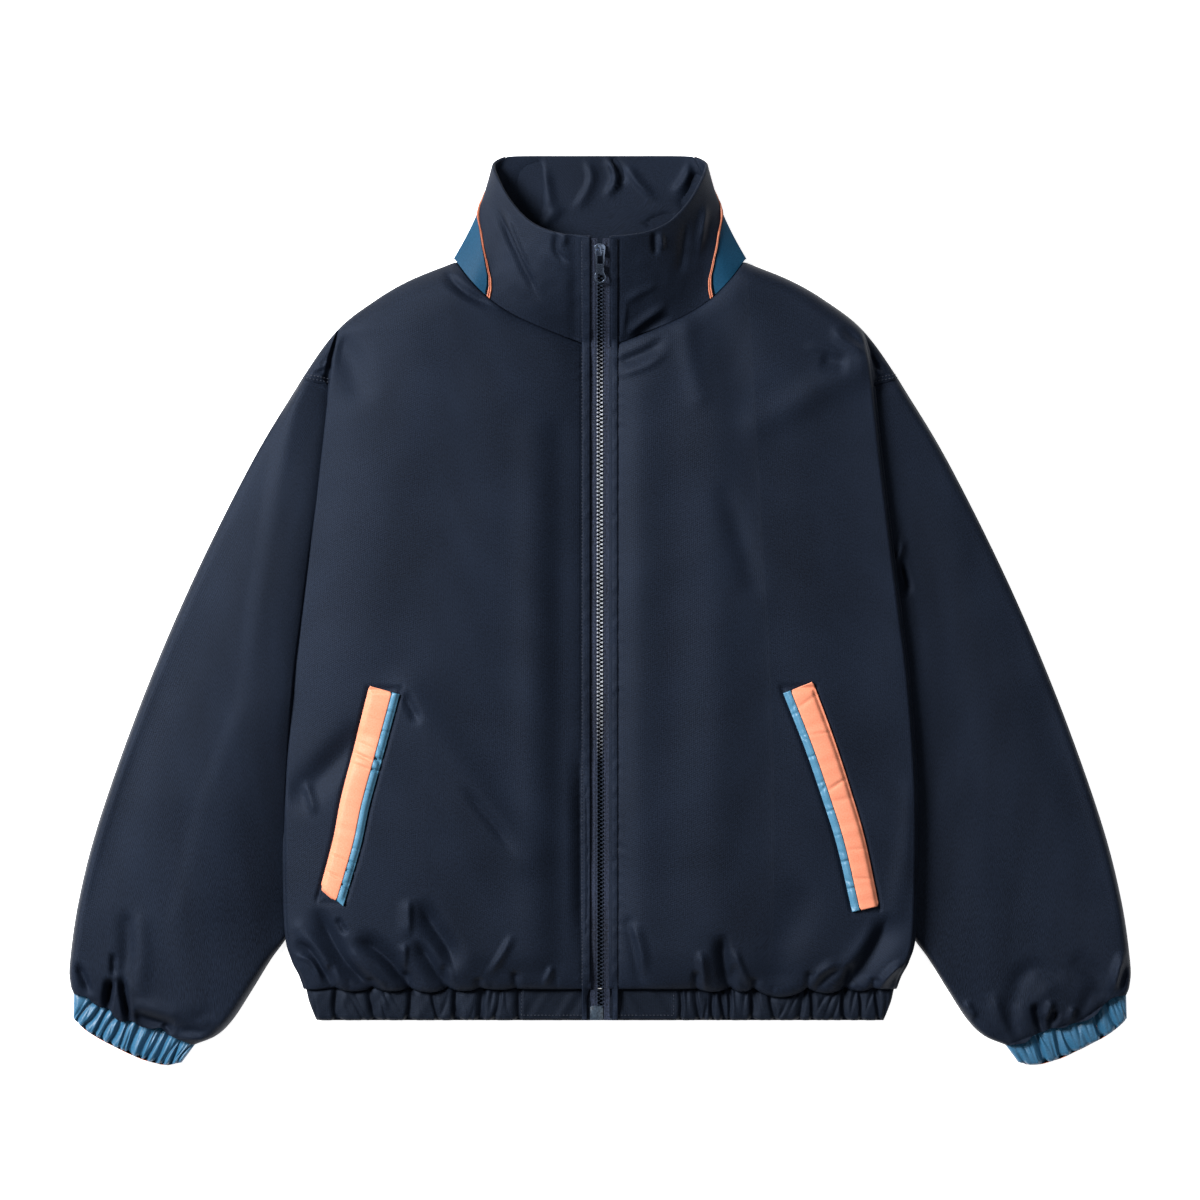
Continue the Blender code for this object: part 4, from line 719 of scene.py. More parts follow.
def makeFront(side):
    sign = sides[side]
    rim = np.linspace(0, 1, front["rimColumns"] + 1)[1:]
    edgeIn = -np.linspace(1, 0, front["zipColumns"] + 1)[:-1]
    across = np.concatenate([edgeIn, edgeBiased(front["columns"], start=0.15, stop=0.45), 1 + rim])

    def place(u, share):
        x, top, sideY, edge = frontPlan(u, share)
        y = mix(top, hemSeamY(sign * x), share)
        z = bodyTop(sign * x, y)
        # shoulder cap: the cloth runs on past the side line to the armhole seam
        rimShare = clamp(u - 1)
        capX, isCap = shoulderCap(edge, sideY, rimShare)
        capZ = sleeveTop(sign * capX, sideY)
        nearSeam = np.exp(-((sideY - body["capBottomY"]) / 5) ** 2)
        capZ = mix(z, capZ, softStep(rimShare / 0.25)) - sleeve["seamDip"] * nearSeam * softStep(rimShare * 3)
        # below it, the side rolls under
        turn = rimShare * math.radians(150)
        radius = body["rollRadius"]
        rollX = edge + radius * (np.sin(turn) - rimShare * 0.6)
        rollZ = z - radius * (1 - np.cos(turn)) * 1.3
        onRim = u > 1
        x = np.where(onRim, mix(rollX, capX, isCap), x)
        z = np.where(onRim, mix(rollZ, capZ, isCap), z)
        y = np.where(onRim, mix(y, sideY, isCap), y)
        # at the zip, the edge is folded and goes down beside the tape
        fold = clamp(-u)
        bend = fold * math.radians(90)
        r = front["zipRadius"]
        x = np.where(u < 0, body["zipEdge"] - r * np.sin(bend) * 0.6, x)
        z = np.where(u < 0, z - r * (1 - np.cos(bend)) - front["zipDrop"] * softStep((fold - 0.4) / 0.6), z)
        return sign * x, y, z

    return clothGrid(f"front_{side}_cloth", [f"front_{side}"], navyPongee,
                     across, frontRows(), place)


for side in sides:
    makeFront(side)
print("fronts made")

# ---- back: it rests on the surface, so its lower side is flat with a few shallow creases

back = {"neckY": 289.6, "columns": 70, "rimColumns": 8}
backFolds = [
    swell([(-150, 200), (-60, 120), (-20, 30)], 1.6, 9),
    swell([(160, 180), (90, 90), (60, -20)], 1.5, 8),
    swell([(-120, -60), (-40, -110), (60, -120)], 1.4, 10),
    swell([(-190, -180), (-120, -240), (-90, -310)], 1.8, 7, "root"),
    swell([(60, -220), (90, -260), (96, -314)], 1.7, 6, "root"),
    swell([(170, -190), (180, -250), (200, -312)], 1.8, 7, "root"),
    swell([(-40, -240), (-30, -280), (-34, -314)], 1.5, 5, "root"),
]


def makeBack():
    rim = 1 + np.linspace(0, 1, back["rimColumns"] + 1)[1:]
    half = np.concatenate([edgeBiased(back["columns"], start=0.1, stop=0.5), rim])
    across = np.concatenate([-half[:0:-1], half])
    top = [0, 0.3, 0.8, 1.6, 2.8, 4.5, 7, 10]
    rows = np.concatenate([top, np.arange(14, 480, 7), np.arange(480, 552, 4), [553, 554]]) / 554

    def place(u, share):
        sign = np.where(u < 0, -1, 1)
        reach = np.abs(u)
        inner = clamp(reach)
        sideY = body["topY"] - share * (body["topY"] - body["hemSeamY"])
        edge = sideX(sideY)
        start = bodySide[0][0] * inner
        neckX, shoulderY = necklinePoints[-1]
        neckY = mix(back["neckY"], shoulderY, softStep((start - 80) / (neckX - 80)))
        top = np.where(start < neckX, neckY, outline.crossing(0, start))
        x = inner * edge
        y = mix(top, body["hemSeamY"], share)
        toOutline = outline.distance(x, y)
        z = (body["edgeZ"] - 0.2) * (1 - quarterRound(toOutline / body["underRound"]))
        seamZ = mix(body["edgeZ"] + 1.5, bodyTop(sign * edge, sideY) * 0.9, turnedUnder(sideY))
        side = (1 - quarterRound((edge - x) / 20)) * turnedUnder(sideY) * (seamZ - 0.2)
        z = np.maximum(z, side)
        z = z + np.abs(foldHeight(sign * x, y, backFolds)) * softStep((edge - x) / 30)
        # shoulder cap and rolled side
        rimShare = clamp(reach - 1)
        capX, isCap = shoulderCap(edge, sideY, rimShare)
        capOut = outline.distance(capX, sideY)
        capZ = (body["edgeZ"] - 0.2) * (1 - quarterRound(capOut / body["underRound"]))
        onRim = reach > 1
        x = np.where(onRim, mix(edge - 0.5 * rimShare, capX, isCap), x)
        y = np.where(onRim, mix(y, sideY, isCap), y)
        z = np.where(onRim, mix(seamZ - 0.2 + 0 * z, capZ, isCap), z)
        return sign * x, y, z

    return clothGrid("back_cloth", ["back"], navyPongee, across, rows, place, facing="down")


makeBack()
print("back made")

# ---- sleeves

sleeveGrid = {"topColumns": 88, "underColumns": 22, "startY": 195.2}
armholePoints = [(240, 190.6), (231.8, 188.6), (228.8, 186), (225.5, 180)]
startX = float(outline.crossing(1, np.array(sleeveGrid["startY"])))
underarm = (float(sideX(np.array(sleeve["underarmY"]))) - sleeve["tuck"], sleeve["underarmY"])


def tucked(heights):
    return [(float(sideX(np.array(float(y)))) - sleeve["tuck"], y) for y in heights]


armhole = SmoothLine([(startX, sleeveGrid["startY"]), *armholePoints, *tucked([170, 120, 60, 0]), underarm])
outerSleeve = SmoothLine([(startX, sleeveGrid["startY"]), *[p for p in outlinePoints if p[1] < 186]])
lowTuck = (float(sideX(np.array(-256.0))) - 0.7 * sleeve["tuck"], -256)
innerSleeve = SmoothLine([underarm, *tucked([-100, -160, -220]), lowTuck, *sleeveInnerPoints])


# A patch between four lines: outer and inner edge, armhole and cuff seam.
def sleevePlan(u, v):
    between = mix(np.array(outerSleeve.at(v)), np.array(innerSleeve.at(v)), u)
    along = mix(np.array(armhole.at(u)), np.array(cuffSeam.at(u)), v)
    top, low = (
        mix(np.array(outerSleeve.at(end))[:, None, None], np.array(innerSleeve.at(end))[:, None, None], u)
        for end in (0.0, 1.0)
    )
    return between + along - mix(top, low, v)


def makeSleeve(side):
    sign = sides[side]
    upper = edgeBiased(sleeveGrid["topColumns"], start=0.45, stop=0.4)
    lower = 1 + edgeBiased(sleeveGrid["underColumns"], start=0.4, stop=0.4)[1:]
    around = np.concatenate([upper, lower])
    along = np.concatenate([[-0.02, -0.01, 0, 0.002, 0.005, 0.009, 0.014], np.linspace(0.02, 0.86, 150),
                            np.linspace(0.865, 1, 56)])

    def place(a, v):
        under, u = unrolled(a)
        x, y = sleevePlan(u, clamp(v))
        seamX, seamY = cuffSeam.at(u)
        edgeX, edgeY = cuffEdge.at(u)
        hang = cuffWave(side, u) * softStep((v - 0.88) / 0.12) / np.hypot(edgeX - seamX, edgeY - seamY)
        x, y = x + (edgeX - seamX) * hang, y + (edgeY - seamY) * hang
        hidden = clamp(-v / 0.02)
        y = y + 5 * hidden
        x = x - 4 * hidden * softStep((x - 232) / 14)
        top = sleeveTop(sign * x, y)
        toArmhole = armhole.distance(x, y)
        top = top - sleeve["seamDip"] * np.exp(-((toArmhole / 5) ** 2))
        tuckShare = clamp((sideX(y) - x) / sleeve["tuck"]) * (y > sleeve["crotchY"])
        top = mix(top, np.minimum(top, mix(5.0, 14.0, softStep((y - 20) / 90))), softStep(tuckShare))
        low = body["edgeZ"] * (1 - quarterRound(outline.distance(x, y) / body["underRound"]))
        endShare = quarterRound(np.minimum(u, 1 - u) / 0.02)
        meet = np.where(u < 0.5, body["edgeZ"], np.minimum(body["edgeZ"], 0.5 * top))
        z = np.where(under, mix(meet, low, endShare), mix(meet, top - 3.0 * hidden, endShare))
        return sign * x, y, z

    return clothGrid(f"sleeve_{side}_cloth", [f"sleeve_{side}"], navyPongee,
                     around, along, place, facing="out", closed=True)


for side in sides:
    makeSleeve(side)
print("sleeves made")

# ---- hem band

band = {"z": 8.4, "mid": 4.3, "rise": 1.6, "sideRound": 6.0, "edgeRadius": 2.0, "gap": 0.4,
        "stitchEnd": {"right": 66.0, "left": 62.0}}


# How far the gathers sink the cloth. The deep ones run from edge to edge, the others fade towards one.
def gatherDepth(across, share, gathers):
    total = np.zeros(np.broadcast(across, share).shape)
    for i, (x, lean, depth, width) in enumerate(gathers):
        here = x + lean * (share - 0.5) + 0.8 * np.sin(4 * share + 2.1 * i)
        gap = np.hypot(across - here, 0.25) - 0.25
        reach = width * np.where((across < here) == (i % 2 == 0), 1.35, 0.75)
        fade = 1.0
        if depth <= 2:
            fade = 1 - 0.8 * softStep(share * 1.2) if i % 3 else 0.2 + 0.8 * softStep(share * 1.3)
        total = np.maximum(total, depth * fade * (1 - np.sin(np.pi / 2 * clamp(gap / reach))))
    return 1.2 * total


def makeBandFront(side):
    sign = sides[side]
    across = np.concatenate([[-1, -0.8, -0.5, -0.2], edgeBiased(300, start=0.05, stop=0.2)])
    rolled = [0.94, 0.97, 1, 1.1, 1.3, 1.6, 2]
    along = np.concatenate([[-0.12, -0.08, -0.03], np.linspace(0, 0.9, 12), rolled])

    def place(u, v):
        outward = clamp(v)
        inner = clamp(u)
        wide = sideX(np.array(body["hemSeamY"]))
        x = mix(body["zipEdge"], wide, inner)
        seam = hemSeamY(sign * x) - band["gap"]
        y = mix(seam, body["hemY"], outward)
        edge = sideX(y)
        x = mix(body["zipEdge"], edge, inner)
        sink = gatherDepth(sign * x, outward, hemGathers[side])
        gathered = softStep((np.abs(x) - 58) / 14)
        z = band["z"] - 0.9 + band["rise"] * gathered * (0.6 + 0.4 * np.sin(np.pi * outward)) - sink
        z = z + 0.35 * ripple(x + 0.6 * y, 19, 0.7)
        y = y + 0.4 * sink * softStep((outward - 0.7) / 0.3)
        # tucked under the front's edge at the seam, rolled in at the lower edge
        z = z - 2.6 * clamp(-v / 0.12) - 0.9 * np.exp(-((outward / 0.06) ** 2))
        y = y + 2.5 * clamp(-v / 0.12)
        roll = clamp((v - 0.9) / 0.1) * math.radians(90)
        z = z - band["edgeRadius"] * (1 - np.cos(roll))
        inside = clamp(v - 1)
        z = mix(z, band["mid"] + 0.2, quarterRound(inside * 3))
        y = y + 8 * clamp(inside - 0.3)
        z = mix(band["mid"] + 0.2, z, quarterRound((edge - x) / band["sideRound"]))
        fold = clamp(-u)
        x = x - 0.7 * np.sin(fold * math.pi / 2)
        z = z - 1.2 * (1 - np.cos(fold * math.pi / 2)) - 2.4 * softStep((fold - 0.4) / 0.6)
        return sign * x, y, z

    return clothGrid(f"hem_band_{side}_cloth", [f"hem_band_front_{side}"], navyBand,
                     across, along, place)


def makeBandBack():
    across = np.concatenate([-edgeBiased(60, start=0, stop=0.5)[:0:-1], edgeBiased(60, start=0, stop=0.5)])
    along = np.concatenate([np.linspace(0, 0.9, 8), [0.95, 1, 1.15, 1.4]])
    gathers = [(x, 4 * math.sin(x), 1.6 + 0.8 * math.sin(0.7 * x), 5) for x in range(-228, 229, 12)]

    def place(u, v):
        outward = clamp(v)
        y = mix(body["hemSeamY"] - 0.4, body["hemY"], outward)
        x = u * sideX(y)
        inside = sideX(y) - np.abs(x)
        z = (band["mid"] - 0.2) * (1 - quarterRound(inside / band["sideRound"]))
        z = z + 0.5 * gatherDepth(x, outward, gathers) * softStep(inside / 12)
        z = np.maximum(z, 1.4 * clamp((v - 0.9) / 0.1) ** 2)
        z = mix(z, band["mid"] - 0.2, clamp((v - 1) / 0.15))
        y = y + 4 * clamp((v - 1.15) / 0.25)
        return x, y, z

    return clothGrid("hem_band_back_cloth", ["hem_band_back"], navyBand,
                     across, along, place, facing="down")


for side in sides:
    makeBandFront(side)
makeBandBack()
print("hem band made")

# ---- cuffs

cuff = {"z": 8.2, "mid": 3.8, "rise": 1.9, "gap": 0.3, "rim": 1.7, "mouth": 0.9, "length": 107.0}
# share along the cuff, lean, depth and half width of each gather, the last three in mm
cuffGathers = {
    "right": [(0.06, -10, 1.8, 2.5), (0.095, -12, 3.2, 3.5), (0.135, -9, 1.6, 2.5), (0.17, -11, 4.2, 4),
              (0.215, -6, 2.0, 3), (0.25, -9, 4.0, 4), (0.29, -4, 1.5, 2.5), (0.32, -7, 3.4, 3.5),
              (0.355, -2, 1.8, 2.5), (0.39, -4, 4.2, 4.5), (0.43, 1, 1.6, 2.5), (0.465, -4, 2.4, 3),
              (0.5, 2, 1.5, 2.5), (0.545, -1, 4.2, 5), (0.585, -4, 1.6, 2.5), (0.615, 2, 2.0, 2.5),
              (0.65, -1, 4.2, 4), (0.685, -4, 1.8, 2.5), (0.715, -2, 3.4, 3.5), (0.75, 2, 1.6, 2.5),
              (0.785, -3, 4.0, 4), (0.83, -1, 1.8, 2.5), (0.86, -4, 2.6, 3), (0.895, -1, 3.6, 3.5),
              (0.93, -3, 1.8, 2.5), (0.965, -2, 2.2, 2.5)],
    "left": [(0.03, -3, 1.6, 2.5), (0.065, -7, 1.9, 3), (0.1, -8, 1.3, 2.5), (0.146, -5, 2.4, 4),
             (0.19, 3, 1.1, 3), (0.23, -4, 1.0, 2.5), (0.274, -2, 4.4, 5), (0.32, 3, 1.0, 3),
             (0.36, -5, 1.0, 2.5), (0.4, -3, 1.2, 4), (0.444, 3, 1.8, 4), (0.49, -4, 1.1, 3),
             (0.546, -2, 2.8, 5), (0.58, 3, 1.2, 2.5), (0.62, 2, 3.2, 6), (0.66, 4, 1.1, 3),
             (0.71, -3, 1.4, 3), (0.765, -1, 4.4, 5), (0.8, 4, 1.0, 2.5), (0.84, 3, 1.2, 3),
             (0.88, -2, 1.8, 4), (0.94, 1, 2.0, 4)],
}
underGathers = [
    (0.06 + 0.068 * i, 1.5 * math.sin(2.7 * i), 2.0 + 0.9 * math.sin(1.9 * i), 4) for i in range(14)
]


def cuffPlan(u, v, start):
    topX, topY = cuffSeam.at(u)
    edgeX, edgeY = cuffEdge.at(u)
    length = np.hypot(edgeX - topX, edgeY - topY)
    share = (start + (length - start) * v) / length
    return mix(topX, edgeX, share), mix(topY, edgeY, share)


def makeCuff(side):
    sign = sides[side]
    upper = edgeBiased(260, start=0.1, stop=0.1)
    lower = 1 + edgeBiased(130, start=0.1, stop=0.1)[1:]
    around = np.concatenate([upper, lower])
    rolled = [0.93, 0.96, 1.0, 1.08, 1.2, 1.5, 1.9]
    along = np.concatenate([[-0.14, -0.07, -0.03], np.linspace(0, 0.9, 18), rolled])

    def sunk(u, v, gathers):
        places = [(at * cuff["length"], *rest) for at, *rest in gathers]
        return gatherDepth(u * cuff["length"], v, places)

    def place(a, v):
        under, u = unrolled(a)
        outward = clamp(v)
        inside = clamp(v - 1)
        sideShare = quarterRound(np.minimum(u, 1 - u) / 0.05)
        sink = sunk(u, outward, cuffGathers[side])
        pulledIn = mix(u, mix(0.03, 0.97, u), clamp(inside * 5))
        reach = outward + np.minimum(v, 0) - 0.6 * clamp(inside - 0.2)
        reach = reach - 0.02 * sink * softStep((outward - 0.6) / 0.4)
        x, y = cuffPlan(pulledIn, reach, cuff["gap"] + cuffWave(side, u))
        z = cuff["z"] - 0.6 + cuff["rise"] * (0.5 + 0.5 * np.sin(np.pi * outward)) - sink
        z = z - 2.2 * clamp(-v / 0.14) - 0.7 * np.exp(-((outward / 0.05) ** 2))
        roll = clamp((v - 0.88) / 0.12) * math.pi / 2
        z = z - cuff["rim"] * (1 - np.cos(roll))
        low = 0.5 * sunk(u, outward, underGathers) + cuff["rim"] * 0.7 * (1 - np.cos(roll))
        mouth = cuff["mouth"] * sideShare
        z = mix(z, cuff["mid"] + mouth, quarterRound(inside * 6))
        low = mix(low, cuff["mid"] - mouth, quarterRound(inside * 6))
        z = np.where(under, np.minimum(low, cuff["mid"] - 0.2), np.maximum(z, cuff["mid"] + 0.3))
        return sign * x, y, mix(cuff["mid"], z, np.maximum(sideShare, clamp(inside * 4)))

    return clothGrid(f"cuff_{side}_cloth", [f"cuff_{side}"], cuffSatin,
                     around, along, place, facing="out", closed=True)


# The orange facing inside the cuff, of which a thin uneven edge shows.
def makeFacing(side):
    sign = sides[side]
    upper = np.linspace(0, 1, 80)
    around = np.concatenate([upper, 1 + upper[1:]])
    along = [0.5, 0.7, 0.9, 0.97, 1.0, 1.03, 1.0, 0.9]
    proud = 0.5

    def place(a, v):
        under, u = unrolled(a)
        show = proud * (0.75 + 0.35 * np.sin(31 * u + sign)) / 30
        x, y = cuffPlan(mix(0.055, 0.945, u), np.minimum(v, 1.0) + (v > 1) * show, 0.7)
        half = 0.6 * quarterRound(np.minimum(u, 1 - u) / 0.05)
        return sign * x, y, cuff["mid"] + np.where(under, -half, half)

    return clothGrid(f"cuff_facing_{side}_cloth", [f"cuff_facing_{side}"], orangeSatin,
                     around, along, place, facing="out", closed=True)


for make in (makeCuff, makeFacing):
    for side in sides:
        make(side)
print("cuffs made")

# ---- collar: sections run from the zip (0) round to the middle of the back (12)

view = {"pixelMm": 0.84, "imagePixels": 1200, "centreY": 9.66, "focus": 12.0, "lens": 135.0, "sensor": 36.0}
view["distance"] = view["pixelMm"] * view["imagePixels"] * view["lens"] / view["sensor"]
collar = {"wall": 3.0, "backWall": 1.8, "innerWall": 1.2, "bulge": 2.5, "hollow": -3.6,
          "pipingWidth": 3.4, "seamGap": 0.7}
collarTopPoints = [(8, 313.5, 56), (26, 315, 53.5), (43, 318.5, 48.5), (60, 327, 42), (75, 343, 34.5),
                   (85, 360, 27), (89.8, 370.5, 19), (90.3, 376, 11), (84.5, 379.8, 4), (76, 381.4, 1),
                   (62, 381.8, 0), (33, 381.8, 0), (0, 381.8, 0)]
collarBackPoints = [(122.5, 296, 6), (117, 296, 2.2), (105, 294, 0.5), (86, 291.5, 0), (45, 290.6, 0),
                    (0, 290.6, 0)]
collarFolds = [
    crease([(-90, 343), (-79, 318), (-66, 292), (-47, 256)], -2.6, 6, 5),
    crease([(-82, 338), (-66, 300), (-54, 276)], 1.6, 5, 5),
    crease([(-36, 317), (-36, 300), (-24, 289)], -2.2, 4, 3),
    crease([(-30, 316), (-29, 304)], 1.8, 4, 4),
    swell([(-22, 312), (-20, 270), (-20, 232)], -1.8, 6),
    crease([(45, 317), (46, 296)], -2.4, 4, 3),
    crease([(50, 317), (51, 300)], 1.8, 4, 4),
    crease([(22, 262), (20, 244), (18, 226)], 0.8, 4, 4),
    crease([(58, 259), (36, 244), (17, 228)], 1.7, 7, 6),
    crease([(62, 250), (44, 240), (24, 226)], -1.7, 7, 6),
    crease([(50, 276), (33, 267), (16, 258)], 0.9, 6, 6),
    crease([(91, 343), (86, 318), (84, 296)], 1.8, 6, 6),
    crease([(74, 330), (70, 300), (66, 280)], -1.6, 8, 6),
]
innerFolds = [
    crease([(-51, 384), (-51, 352), (-54, 318)], -5.0, 28, 4),
    crease([(-49, 376), (-44, 350), (-40, 326)], 2.2, 3, 9),
    crease([(-14, 382), (-8, 366), (-14, 350), (-24, 336)], 2.4, 3, 9),
    crease([(4, 383), (11, 374), (13, 362), (4, 346)], 4.2, 5, 4),
    crease([(9, 384), (16, 370), (17, 356)], -3.0, 4, 6),
    crease([(22, 378), (30, 362), (48, 344)], 2.2, 3, 8),
    crease([(78, 378), (70, 362), (60, 350)], 3.4, 4, 6),
    crease([(84, 372), (78, 352), (66, 338)], -3.6, 6, 8),
    crease([(80, 328), (62, 322), (40, 314)], 3.2, 7, 4),
    crease([(66, 334), (50, 330), (36, 322)], -2.4, 5, 6),
    crease([(-30, 342), (-44, 330), (-52, 318)], 1.8, 6, 6),
]


# Reads a list of points, one to a section, at any place between the sections.
def sectionReader(points, steps=16):
    line = smoothPoints(points, steps)
    places = np.arange(len(line)) / steps
    return lambda section: np.array([np.interp(section, places, column) for column in line.T])


def collarSeam():
    points = []
    for share in np.linspace(0, 1, 7):
        x, y = (float(v) for v in neckline.at(share))
        ahead = np.array(neckline.at(share + 0.01)) - np.array(neckline.at(share - 0.01))
        ahead = ahead / np.hypot(*ahead)
        x, y = x - ahead[1] * collar["seamGap"], y + ahead[0] * collar["seamGap"]
        full = float(bodyLoft(x, sideX(np.array(y))))
        height = mix(body["edgeZ"], full, float(quarterRound(outline.distance(x, y) / body["shoulderRound"])))
        points.append((x, y, height * (1 - body["neckDrop"] * mix(0.25, 1, float(softStep((x - 12) / 5))))))
    return points + collarBackPoints


collarBase = sectionReader(collarSeam())
collarTop = sectionReader(collarTopPoints)


def collarPlain(section, rise):
    spot = mix(collarBase(section), collarTop(section), rise)
    # the outline was measured on the photo, where what stands nearer the camera looks larger
    nearer = (spot[2] - view["focus"]) / view["distance"]
    return np.array([spot[0] * (1 - nearer), mix(spot[1], view["centreY"], nearer), spot[2]])


def collarOutward(section, rise):
    step = 0.12
    ahead, behind = (collarPlain(np.clip(section + move, 0, 12), rise) for move in (step, -step))
    above, below = (collarPlain(section, clamp(rise + move)) for move in (step, -step))
    normal = np.cross(ahead - behind, above - below, axis=0)
    return normal / np.linalg.norm(normal, axis=0)


def collarPoint(section, rise, depth, sign=1, folds=(), strength=1.0):
    spot = collarPlain(section, rise)
    outward = collarOutward(section, rise)
    puff = mix(collar["bulge"], collar["hollow"], softStep((section - 2) / 3))
    puff = puff * np.sin(np.pi * rise) * softStep((9 - section) / 2)
    relief = 0.8 * foldHeight(sign * spot[0], spot[1], folds) * strength if folds else 0
    spot = spot + outward * (puff - depth + relief)
    return np.array([sign * spot[0], spot[1], np.maximum(spot[2], 0.02 + 0 * spot[2])])


# Round the collar, the piping keeps to the front at first and goes behind the side halfway up.
def pipingSection(rise):
    risen = (0, 0.09, 0.18, 0.29, 0.36, 0.44, 0.55, 0.63, 0.75, 1)
    return np.interp(rise, risen, (4.2, 4.2, 4.3, 4.68, 5.03, 5.38, 6.25, 7.2, 7.9, 8.6))


def sectionWidth(section, rise):
    return np.linalg.norm(collarPlain(section + 0.2, rise) - collarPlain(section - 0.2, rise), axis=0) / 0.4


# Runs up the outer side, over a rounded top edge and down the inner side.
def wallShares(rows):
    up = np.linspace(0, 1, rows)
    over = 1 + np.linspace(0, 1, 9)[1:]
    down = 2 + np.linspace(0, 1, rows)[1:]
    return np.concatenate([up, over, down])


# How far up the collar that is.
def wallRise(v):
    return np.where(v <= 1, v, np.where(v <= 2, 1, 3 - v))


def wallPlace(section, v, near, far, sign, outerFolds, innerFoldList):
    over = clamp(v - 1)
    rise = wallRise(v)
    depth = mix(near, far, (1 - np.cos(over * math.pi)) / 2)
    outer = collarPoint(section, rise, depth, sign, outerFolds, 1 - over)
    inner = collarPoint(section, rise, depth, sign, innerFoldList, -over) if innerFoldList else outer
    spot = mix(outer, inner, over) if innerFoldList else outer
    up = collarPlain(section, np.ones_like(v)) - collarPlain(section, np.full_like(v, 0.9))
    up = up / np.linalg.norm(up, axis=0)
    cap = np.sin(over * math.pi) * (far - near) / 2
    return spot + np.array([sign * up[0], up[1], up[2]]) * cap * (v >= 1) * (v <= 2)


def makeCollarFront(side):
    sign = sides[side]
    across = np.concatenate([[-1, -0.66, -0.33], edgeBiased(96, start=0.15, stop=0.2)])
    along = wallShares(44)

    def place(u, v):
        rise = wallRise(v)
        edge = pipingSection(rise)
        # the piping shows outside only: past the top edge the two sides of its seam meet
        apart = (collar["pipingWidth"] / 2 + 0.3) * (1 - softStep(v - 1)) + 0.2
        edge = edge - apart / sectionWidth(edge, rise)
        spot = wallPlace(edge * clamp(u), v, 0.0, collar["wall"], sign, collarFolds, ())
        spot[2] = spot[2] + 0.25 * crumple(spot[0], spot[1], 6.3, 22) * np.sin(np.pi * clamp(v))
        stitch = np.abs(spot[0]) - body["stitchX"]
        spot[2] = spot[2] - 0.8 * np.exp(-((stitch / 1.4) ** 2)) * (v < 1)
        # the zip edge is closed by the tape's side
        spot[2] = np.where((u < 0) & (v < 1.5), spot[2] + u * collar["wall"] * 0.9, spot[2])
        return spot

    return clothGrid(f"collar_front_{side}_cloth", [f"collar_front_{side}"], navyPongee,
                     across, along, place, facing="out")


def makeCollarBack(node, surface, near, far, folds, rows, darkGap=0.3):
    half = edgeBiased(70, start=0.0, stop=0.3)
    across = np.concatenate([-half[:0:-1], half])
    along = wallShares(rows)

    def place(u, v):
        rise = wallRise(v)
        edge = pipingSection(rise)
        apart = (collar["pipingWidth"] / 2 + darkGap) * (1 - softStep(v - 1)) + 0.2
        edge = edge + apart / sectionWidth(edge, rise)
        sign = np.where(u < 0, -1, 1)
        return wallPlace(mix(12, edge, np.abs(u)), v, near, far, sign, (), folds)

    return clothGrid(f"{node}_cloth", [node], surface, across, along, place, facing="out")


# A folded strip of satin in the seam, with a ridge along each of its edges.
def makePiping(side):
    sign = sides[side]
    across = np.linspace(-1, 1, 13)
    along = np.linspace(0, 1, 60)

    def place(u, v):
        middle = pipingSection(v)
        section = middle + u * (collar["pipingWidth"] / 2 + 0.3) / sectionWidth(middle, v)
        ridge = 1.3 * np.abs(np.sin(np.pi * u)) - 1.4 * clamp(np.abs(u) - 0.75) * 4
        return collarPoint(section, v, -ridge - 0.15 * ripple(v * 100, 9, 2.0), sign)

    name = f"collar_piping_{side}"
    return clothGrid(f"{name}_cloth", [name], shadedPipingSatin, across, along, place)


for side in sides:
    makeCollarFront(side)
makeCollarBack("collar_back", shadedSideSatin, 0.0, collar["backWall"], (), 30, 2.2)
innerNear = collar["backWall"] + collar["seamGap"]
makeCollarBack("collar_inner_back", navyPongee, innerNear, innerNear + collar["innerWall"], innerFolds, 40)
for side in sides:
    makePiping(side)
print("collar made")

# ---- pocket welts

weltFolds = {  # share along, slant, depth
    "right": [(0.14, -0.1, 0.35), (0.27, -0.2, 1.0), (0.325, -0.2, 2.6), (0.37, -0.1, 1.5), (0.81, -0.1, 0.9),
              (0.905, 0.1, 1.2)],
    "left": [(0.07, -0.3, 0.7), (0.22, 0.3, 0.8), (0.45, -0.3, 1.2), (0.52, 0.2, 0.5), (0.74, 0.2, 0.6),
             (0.87, 0.3, 1.0)],
}
weltGathers = {  # share along and depth of the pinches in the narrow strip
    "right": [(0.09, 0.7), (0.185, 1.0), (0.315, 1.9), (0.37, 1.7), (0.47, 0.7), (0.745, 0.7), (0.81, 0.9),
              (0.85, 1.8), (0.92, 1.8)],
    "left": [(0.1, 0.9), (0.2, 0.7), (0.3, 1.5), (0.42, 1.0), (0.55, 1.6), (0.66, 0.8), (0.78, 1.7),
             (0.9, 1.5)],
}


